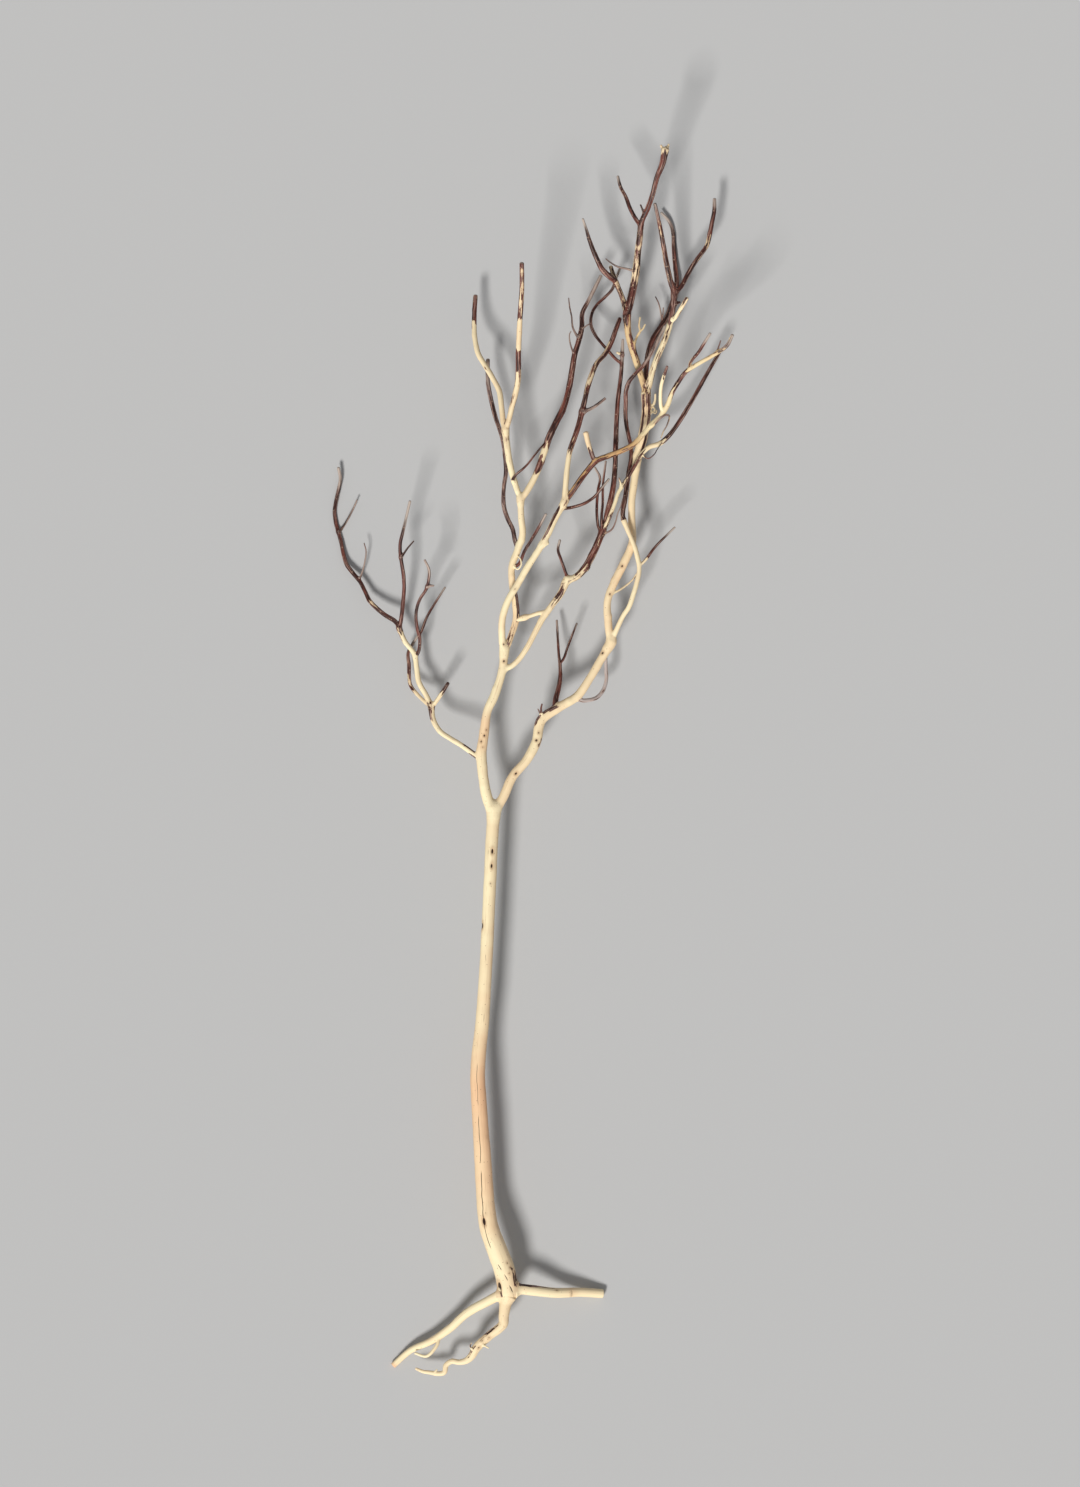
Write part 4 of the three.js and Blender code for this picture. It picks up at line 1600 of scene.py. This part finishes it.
@dataclass
class CentreCrown(LimbGroup):
    """The limb that carries on from the stem, with its front and rear forks.

    Attributes:
        limbs: parents and children of the two forks.
    """

    limbs: tuple[Limb, ...] = (
        Limb(
            "centre_limb", "trunk",
            tan=((0.0, 0.05), (0.33, 0.1), (0.4, 0.5), (0.55, 0.5), (0.62, 0.1), (1.0, 0.1)),
            knots=(
                Knot(0.47, 0.6, 2.2, 1.8, 0.3, 0.9),
                Knot(0.432, -1.6, 2.0, 1.6, 0.3, 0.8),
                Knot(0.505, 1.8, 1.4, 1.2, 0.2, 0.7),
                Knot(0.4, 0.8, 1.3, 1.2, 0.2, 0.6),
                Knot(0.935, 0.5, 2.2, 1.8, 0.3, 0.9),
            ),
        ),
        Limb(
            "front_limb", "centre_limb",
            knots=(Knot(0.048, 1.0, 2.0, 1.6, 0.3, 0.8), Knot(0.4, 0.4, 1.8, 1.2, 0.2, 0.6)),
            bark=((0.0, 0.05), (0.7, 0.1), (0.82, 0.3), (1.0, 0.42)),
            patches=(Patch(0.76, 0.98, -1.6, 2.6, 0.5),),
            twigs=(Twig(0.71, ((3, 0.6, 1), (6.2, 1.6, 1)), 4.0, 2.6, 0.1),),
        ),
        Limb(
            "front_long_shoot", "front_limb", Wood.BARK,
            bark=(
                (0.0, 0.3), (0.06, 0.08), (0.19, 0.12), (0.26, 0.55), (0.36, 0.85), (0.55, 0.8),
                (0.62, 0.55), (0.85, 0.6), (1.0, 0.7),
            ),
            twigs=(Twig(0.468, ((4, 1, 1), (11, 4, 2), (18, 9, 3), (23, 13, 3)), 4.0, 2.8),),
        ),
        Limb(
            "front_crossing_shoot", "front_limb", Wood.TAN,
            tan=((0.0, 0.8), (0.35, 0.8), (0.42, 0.0), (1.0, 0.0)),
            bark=(
                (0.0, 0.6), (0.2, 0.64), (0.28, 0.5), (0.38, 0.4), (0.43, 0.2), (0.6, 0.2), (0.66, 0.75),
                (0.74, 0.8), (0.78, 0.05), (0.89, 0.12), (0.93, 0.6), (1.0, 0.7),
            ),
            twigs=(
                Twig(
                    0.465,
                    (
                        (2, 0, 2), (8, 6, 4), (16, 11, 6), (19, 10, 6), (17, 1, 6), (13, -6, 5),
                        (11, -12, 5),
                    ),
                    2.7,
                    1.1,
                    0.6,
                ),
                Twig(0.887, ((2, 4, 1), (5, 13, 2)), 2.0, 1.2, 0.7),
            ),
        ),
        Limb(
            "crossing_upright_twig", "front_crossing_shoot",
            bark=((0.0, 0.1), (0.7, 0.1), (0.85, 0.9), (1.0, 1.0)),
        ),
        Limb("crossing_tip_twig", "front_crossing_shoot", Wood.BARK, bark=((0.0, 0.5), (1.0, 0.85))),
        Limb(
            "crossing_stub", "front_crossing_shoot",
            bark=((0.0, 0.85), (0.45, 0.75), (0.55, 0.35), (1.0, 0.2)),
            tan=((0.0, 0.3), (1.0, 0.4)),
        ),
        Limb("front_side_twig", "front_limb", Wood.BARK),
        Limb(
            "rear_limb", "centre_limb",
            patches=(Patch(0.2, 0.44, 2.2, 3.4, 0.85), Patch(0.03, 0.2, 0.0, 5.0, 0.45)),
            tan=((0.0, 0.35), (0.5, 0.3), (0.7, 0.1), (1.0, 0.1)),
            twigs=(
                Twig(
                    0.563, ((2, -1, 2), (5.5, -4, 4), (9, 0, 5), (8.5, 6, 5), (6, 9, 4)), 1.9, 1.2, 0.05,
                ),
            ),
        ),
        Limb(
            "rear_fork", "rear_limb",
            bark=((0.0, 0.1), (1.0, 0.35)),
            twigs=(
                Twig(
                    0.25, ((-2, 2, 4), (2, 8, 5), (8, 13, 6), (13, 18, 6), (20, 27, 6), (30, 39, 5)),
                    3.0, 1.8, 0.8,
                ),
            ),
        ),
        Limb(
            "rear_left_shoot", "rear_fork", Wood.BARK,
            bark=(
                (0.0, 0.35), (0.1, 0.1), (0.4, 0.12), (0.5, 0.3), (0.56, 0.08), (0.78, 0.1),
                (0.81, 0.95), (0.93, 0.95), (0.96, 0.7), (1.0, 0.5),
            ),
        ),
        Limb(
            "rear_right_shoot", "rear_fork", Wood.BARK,
            bark=(
                (0.0, 0.4), (0.2, 0.42), (0.35, 0.3), (0.38, 0.8), (0.47, 0.8), (0.5, 0.1), (0.64, 0.12),
                (0.68, 0.75), (0.76, 0.55), (1.0, 0.6),
            ),
        ),
        Limb(
            "rear_under_shoot", "rear_limb", Wood.WEATHERED,
            bark=((0.0, 0.75), (0.5, 0.7), (1.0, 0.8)),
        ),
        Limb("rear_slim_shoot", "rear_limb", Wood.BARK),
        Limb(
            "rear_straight_shoot", "rear_limb", Wood.BARK,
            bark=(
                (0.0, 0.2), (0.04, 0.08), (0.12, 0.1), (0.16, 0.75), (0.19, 0.75), (0.205, 0.1),
                (0.235, 0.12), (0.27, 0.8), (0.4, 0.95), (1.0, 0.97),
            ),
            twigs=(
                Twig(0.652, ((-2, 2, 2), (-5, 11, 3), (-5.5, 19, 3), (-4, 22, 3)), 2.0, 1.0),
                Twig(
                    0.723, ((-3, 2, 2), (-7, 10, 3), (-8, 20, 4), (-10, 30, 4), (-11, 39, 4)), 2.6, 1.1,
                ),
                Twig(0.74, ((0, 2, 1), (5, 7, 1), (10, 10, 1)), 2.0, 1.1),
            ),
        ),
    )


@dataclass
class MidCrown(LimbGroup):
    """The slim limb between centre and right, with its dark elbow.

    Attributes:
        limbs: the limb, its elbow and what they carry.
    """

    limbs: tuple[Limb, ...] = (
        Limb(
            "mid_limb", "centre_limb",
            bark=((0.0, 0.05), (0.65, 0.1), (0.75, 0.4), (0.92, 0.5), (1.0, 0.25)),
            patches=(Patch(0.8, 0.9, -1.0, 3.0, 0.3),),
        ),
        Limb(
            "bridge_twig", "mid_limb",
            bark=((0.0, 0.1), (1.0, 0.08)),
            twigs=(Twig(0.86, ((-3, -1, 0), (-6, -2, -0.5), (-9, -3, -1)), 3.9, 4.2, 0.05),),
        ),
        Limb(
            "mid_elbow", "mid_limb", Wood.BARK,
            bark=((0.0, 0.3), (0.25, 0.5), (0.4, 0.66), (0.7, 0.6), (1.0, 0.64)),
            knots=(Knot(0.388, 1.5, 7.0, 5.5, -0.9, 0.15),),
            twigs=(
                Twig(
                    0.915, ((4, 2, 1), (11, 6, 2), (15, 14, 2), (17, 22, 2), (20, 29, 2), (22, 37, 2)),
                    2.2, 1.0,
                ),
            ),
        ),
        Limb("mid_curled_twig", "mid_limb", Wood.BARK),
        Limb(
            "mid_slender_shoot", "mid_elbow",
            bark=(
                (0.0, 0.6), (0.08, 0.5), (0.12, 0.08), (0.2, 0.15), (0.27, 0.7), (0.38, 0.65),
                (0.42, 0.12), (0.49, 0.12), (0.54, 0.8), (1.0, 0.95),
            ),
            twigs=(
                Twig(0.22, ((-1, 4, 1), (-2.5, 9, 2)), 2.5, 1.4, 0.5),
                Twig(0.4, ((2, -3, 2), (6, -5, 3), (12, -1, 4), (15, 4, 4), (20, 11, 4)), 1.4, 0.8, 0.6),
            ),
        ),
        Limb(
            "mid_dark_shoot", "mid_elbow", Wood.BARK,
            twigs=(Twig(0.922, ((-2.5, 1, 3), (-5, 2, 5)), 3.0, 2.2, 0.0),),
        ),
        Limb("mid_dark_curl", "mid_dark_shoot", Wood.BARK),
        Limb("mid_left_strand", "mid_elbow", Wood.BARK),
        Limb("mid_right_strand", "mid_elbow", Wood.BARK),
    )


@dataclass
class RightCrown(LimbGroup):
    """The tallest limb, its wandering shoot and the leaders at the top.

    Attributes:
        lower: the right limb and what grows from it below the top.
        top: the shoots and leaders of the top.
        limbs: all of them.
    """

    lower: tuple[Limb, ...] = (
        Limb(
            "right_limb", "trunk",
            knots=(
                Knot(0.205, 0.9, 2.6, 1.7, 0.4),
                Knot(0.39, -0.4, 2.4, 2.4, 0.4, 0.9),
                Knot(0.375, 3.3, 1.6, 1.2, 0.2, 0.8),
                Knot(0.427, 0.5, 1.8, 1.5, 0.2, 0.8),
                Knot(0.93, -1.9, 2.4, 1.8, 0.3, 0.9),
            ),
            tan=(
                (0.0, 0.3), (0.2, 0.35), (0.36, 0.15), (0.44, 0.25), (0.55, 0.15), (0.75, 0.3),
                (1.0, 0.3),
            ),
            patches=(
                Patch(0.47, 0.6, -3.8, 3.4, 0.66),
                Patch(0.53, 0.6, -1.2, 2.4, 0.42),
                Patch(0.36, 0.41, 3.8, 1.6, 0.6),
            ),
            twigs=(
                Twig(0.502, ((-1, 3, 3), (-2, 9, 5), (-1, 14, 6)), 2.6, 1.6, 1.0),
                Twig(0.502, ((-2, 3, 3), (-4, 7, 4), (-5, 9, 4)), 2.0, 1.2, 1.0),
            ),
        ),
        Limb("hanging_shoot", "right_limb", Wood.BARK),
        Limb("hanging_tine", "hanging_shoot", Wood.BARK),
        Limb("loop_twig", "right_limb", Wood.WEATHERED),
        Limb(
            "upper_limb", "right_limb",
            knots=(Knot(0.313, -0.3, 2.2, 1.8, 0.3, 0.9), Knot(0.193, 0.5, 2.0, 1.6, 0.3, 0.8)),
            tan=((0.0, 0.25), (0.3, 0.35), (0.45, 0.3), (0.6, 0.2), (0.9, 0.35), (1.0, 0.4)),
            patches=(
                Patch(0.72, 1.06, 2.9, 3.2, 0.75),
                Patch(0.8, 1.08, -2.8, 3.0, 0.8),
                Patch(0.86, 1.1, 0.2, 2.4, 0.42),
            ),
            twigs=(
                Twig(0.943, ((6, 3, 1), (8.5, 8, 2), (9, 15, 2)), 3.2, 2.0, 0.15),
                Twig(0.935, ((5, -1, 1), (8.5, 1, 2), (7, 4.5, 3)), 2.4, 1.8, 0.3),
                Twig(0.93, ((5, 1, 2), (9.5, -1, 3), (10.5, 2, 3)), 1.9, 1.4, 0.2),
                Twig(
                    0.193, ((6, 2, -1), (10, 4, -2), (16, 8, -5), (23, 14, -7), (27, 20, -8)), 2.6, 1.6,
                    0.4,
                ),
            ),
        ),
        Limb("wandering_shoot", "right_limb"),
        Limb(
            "wandering_twig", "wandering_shoot", Wood.BARK,
            bark=((0.0, 0.1), (0.14, 0.15), (0.26, 0.9), (1.0, 0.97)),
        ),
        Limb(
            "wandering_dark_shoot", "wandering_shoot", Wood.BARK,
            bark=((0.0, 0.7), (0.2, 0.8), (1.0, 0.95)),
        ),
    )
    top: tuple[Limb, ...] = (
        Limb(
            "top_shoot", "upper_limb",
            bark=((0.0, 0.42), (0.5, 0.38), (0.68, 0.36), (0.76, 0.85), (1.0, 0.9)),
            twigs=(Twig(0.875, ((3, 1, 1), (6.5, 2, 1)), 3.2, 2.2),),
        ),
        Limb(
            "top_left_leader", "top_shoot", Wood.BARK,
            bark=((0.0, 0.8), (0.2, 0.6), (0.8, 0.6), (1.0, 0.85)),
        ),
        Limb(
            "top_right_leader", "top_shoot", Wood.BARK,
            bark=((0.0, 0.85), (0.4, 0.8), (0.5, 0.5), (0.62, 0.5), (0.7, 0.85), (1.0, 0.9)),
        ),
        Limb("top_side_twig", "top_shoot", bark=((0.0, 0.1), (0.3, 0.35), (1.0, 0.45))),
        Limb(
            "left_top_shoot", "upper_limb", Wood.TAN,
            tan=((0.0, 0.2), (0.5, 0.4), (1.0, 0.6)),
            bark=((0.0, 0.48), (0.4, 0.4), (0.85, 0.5), (1.0, 0.8)),
            twigs=(
                Twig(
                    0.578,
                    ((0.5, 3, 2), (2.5, 8, 4), (4.5, 13, 5), (7.5, 18, 6), (6.5, 24, 6), (7.5, 32, 6)),
                    3.0, 1.6, 0.3,
                ),
                Twig(
                    0.578,
                    ((0.5, 3, 2), (2.5, 8, 4), (4.5, 13, 5), (7.5, 18, 6), (10.5, 21, 6), (12.5, 25, 6)),
                    3.0, 1.6, 0.3,
                ),
            ),
        ),
        Limb(
            "tall_leader", "left_top_shoot", Wood.BARK,
            bark=(
                (0.0, 0.95), (0.12, 0.85), (0.2, 0.5), (0.45, 0.5), (0.55, 0.85), (0.9, 0.9),
                (0.97, 0.75), (1.0, 0.35),
            ),
            twigs=(
                Twig(0.25, ((-2, 1, 1), (-9, 3, 2), (-18, 5, 3), (-25, 9, 3), (-30, 13, 3)), 2.6, 1.2),
                Twig(0.593, ((-1.5, 2, 1), (-4.5, 9, 2)), 2.6, 1.6),
                Twig(0.97, ((-1.6, 3.5, 0), (-3.6, 8.5, 0.5)), 2.6, 2.2, 0.25),
                Twig(0.97, ((1.8, 4.0, 0), (4.0, 9.5, 0.5)), 2.6, 2.2, 0.25),
            ),
        ),
        Limb("tall_leader_twig", "tall_leader", Wood.BARK),
        Limb("short_leader", "left_top_shoot", Wood.BARK, bark=((0.0, 0.55), (1.0, 0.55))),
        Limb("short_leader_fork", "short_leader", Wood.BARK),
        Limb(
            "rear_top_shoot", "upper_limb", Wood.BARK,
            twigs=(
                Twig(0.412, ((-2, 1, 1), (-4, 11, 2), (-6, 19, 2), (-9, 25, 2)), 2.1, 1.1),
                Twig(0.412, ((-2, 1, 1), (-1.5, 8, 2), (-1, 14, 2)), 1.8, 1.1),
            ),
        ),
    )
    limbs: tuple[Limb, ...] = lower + top


# ---------------------------------------------------------------------------------------------------------
# Stage
# ---------------------------------------------------------------------------------------------------------


@dataclass
class Stage:
    """Plain floor, soft light and the camera that looks down.

    Attributes:
        floor_grey: albedo of the floor.
        sky: strength of the even light.
        sun: strength of the soft sun.
        sun_spread: angle that the sun covers, in degrees.
        sun_height: height of the sun above the floor, in degrees.
        sun_turn: bearing of the sun from the foot of the picture towards its left, in degrees.
        lens_mm: focal length.
        frame_height: height of the picture at the middle of the branch.
        aim: shift of the aim from the frame's origin.
        mid_height: height of the middle of the branch above the floor.
        floor_half: half of the floor's width.
        sun_colour: colour of the sun.
        sky_colour: colour of the even light.
    """

    floor_grey: float = 0.50
    sky: float = 0.30
    sun: float = 3.2
    sun_spread: float = 14.0
    sun_height: float = 48.0
    sun_turn: float = 24.0
    lens_mm: float = 500.0
    frame_height: float = 1.487
    aim: tuple[float, float] = (0.0072, 0.0194)
    mid_height: float = 0.0645
    floor_half: float = 30.0
    sun_colour: Point = (1.0, 0.985, 0.95)
    sky_colour: Point = (0.97, 0.985, 1.0)

    def build(self) -> None:
        """Makes the floor, the light and the camera."""
        self._floor()
        self._light()
        self._camera()
        bpy.context.scene.view_settings.view_transform = "Standard"

    def _floor(self) -> None:
        """A wide, plain, pale floor under the branch."""
        half = self.floor_half
        mesh = bpy.data.meshes.new("floor")
        corners = [(-half, -half, 0.0), (half, -half, 0.0), (half, half, 0.0), (-half, half, 0.0)]
        mesh.from_pydata(corners, [], [(0, 1, 2, 3)])
        floor = bpy.data.objects.new("floor", mesh)
        bpy.context.scene.collection.objects.link(floor)
        material = bpy.data.materials.new("floor_plain")
        material.use_nodes = True
        material.node_tree.nodes.clear()
        g = Graph(material.node_tree)
        grey = (self.floor_grey, self.floor_grey, self.floor_grey * 1.01, 1.0)
        shader = g.node("ShaderNodeBsdfPrincipled", {}, {"Base Color": grey, "Roughness": 0.9})
        g.node("ShaderNodeOutputMaterial", {}, {"Surface": shader})
        mesh.materials.append(material)

    def _light(self) -> None:
        """Soft sun from the foot and left of the picture, and an even sky."""
        lamp = bpy.data.lights.new("soft_sun", "SUN")
        lamp.energy = self.sun
        lamp.angle = math.radians(self.sun_spread)
        lamp.color = self.sun_colour
        sun = bpy.data.objects.new("soft_sun", lamp)
        high, turn = math.radians(self.sun_height), math.radians(self.sun_turn)
        toward = Vector((-math.sin(turn) * math.cos(high), -math.cos(turn) * math.cos(high), math.sin(high)))
        sun.rotation_euler = toward.to_track_quat("Z", "Y").to_euler()
        bpy.context.scene.collection.objects.link(sun)
        world = bpy.data.worlds.new("even_sky")
        world.use_nodes = True
        world.node_tree.nodes.clear()
        g = Graph(world.node_tree)
        inputs = {"Color": (*self.sky_colour, 1.0), "Strength": self.sky}
        sky = g.node("ShaderNodeBackground", {}, inputs)
        g.node("ShaderNodeOutputWorld", {}, {"Surface": sky})
        bpy.context.scene.world = world

    def _camera(self) -> None:
        """Camera straight above, with the crown at the top of the picture."""
        data = bpy.data.cameras.new("above")
        data.lens = self.lens_mm
        data.sensor_width = 36.0
        away = self.frame_height * self.lens_mm / data.sensor_width
        camera = bpy.data.objects.new("above", data)
        camera.location = (self.aim[0], self.aim[1], self.mid_height + away)
        data.clip_start, data.clip_end = 0.1, 100.0
        bpy.context.scene.collection.objects.link(camera)
        bpy.context.scene.camera = camera


def main() -> None:
    """Builds every sub-assembly on the frame, then the stage."""
    logging.basicConfig(level=logging.INFO, format="%(message)s")
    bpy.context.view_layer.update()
    branch = Branch(SweepTree(), {finish.slot: finish.build() for finish in FINISHES})
    groups = (RootCrown(), CentreCrown(), LeftCrown(), MidCrown(), RightCrown())
    for group in groups:
        group.grow(branch)
    for group in groups:
        made = group.build(branch)
        LOG.info("%s: %d pieces", type(group).__name__, len(made))
    Stage().build()


if __name__ == "__main__":
    main()
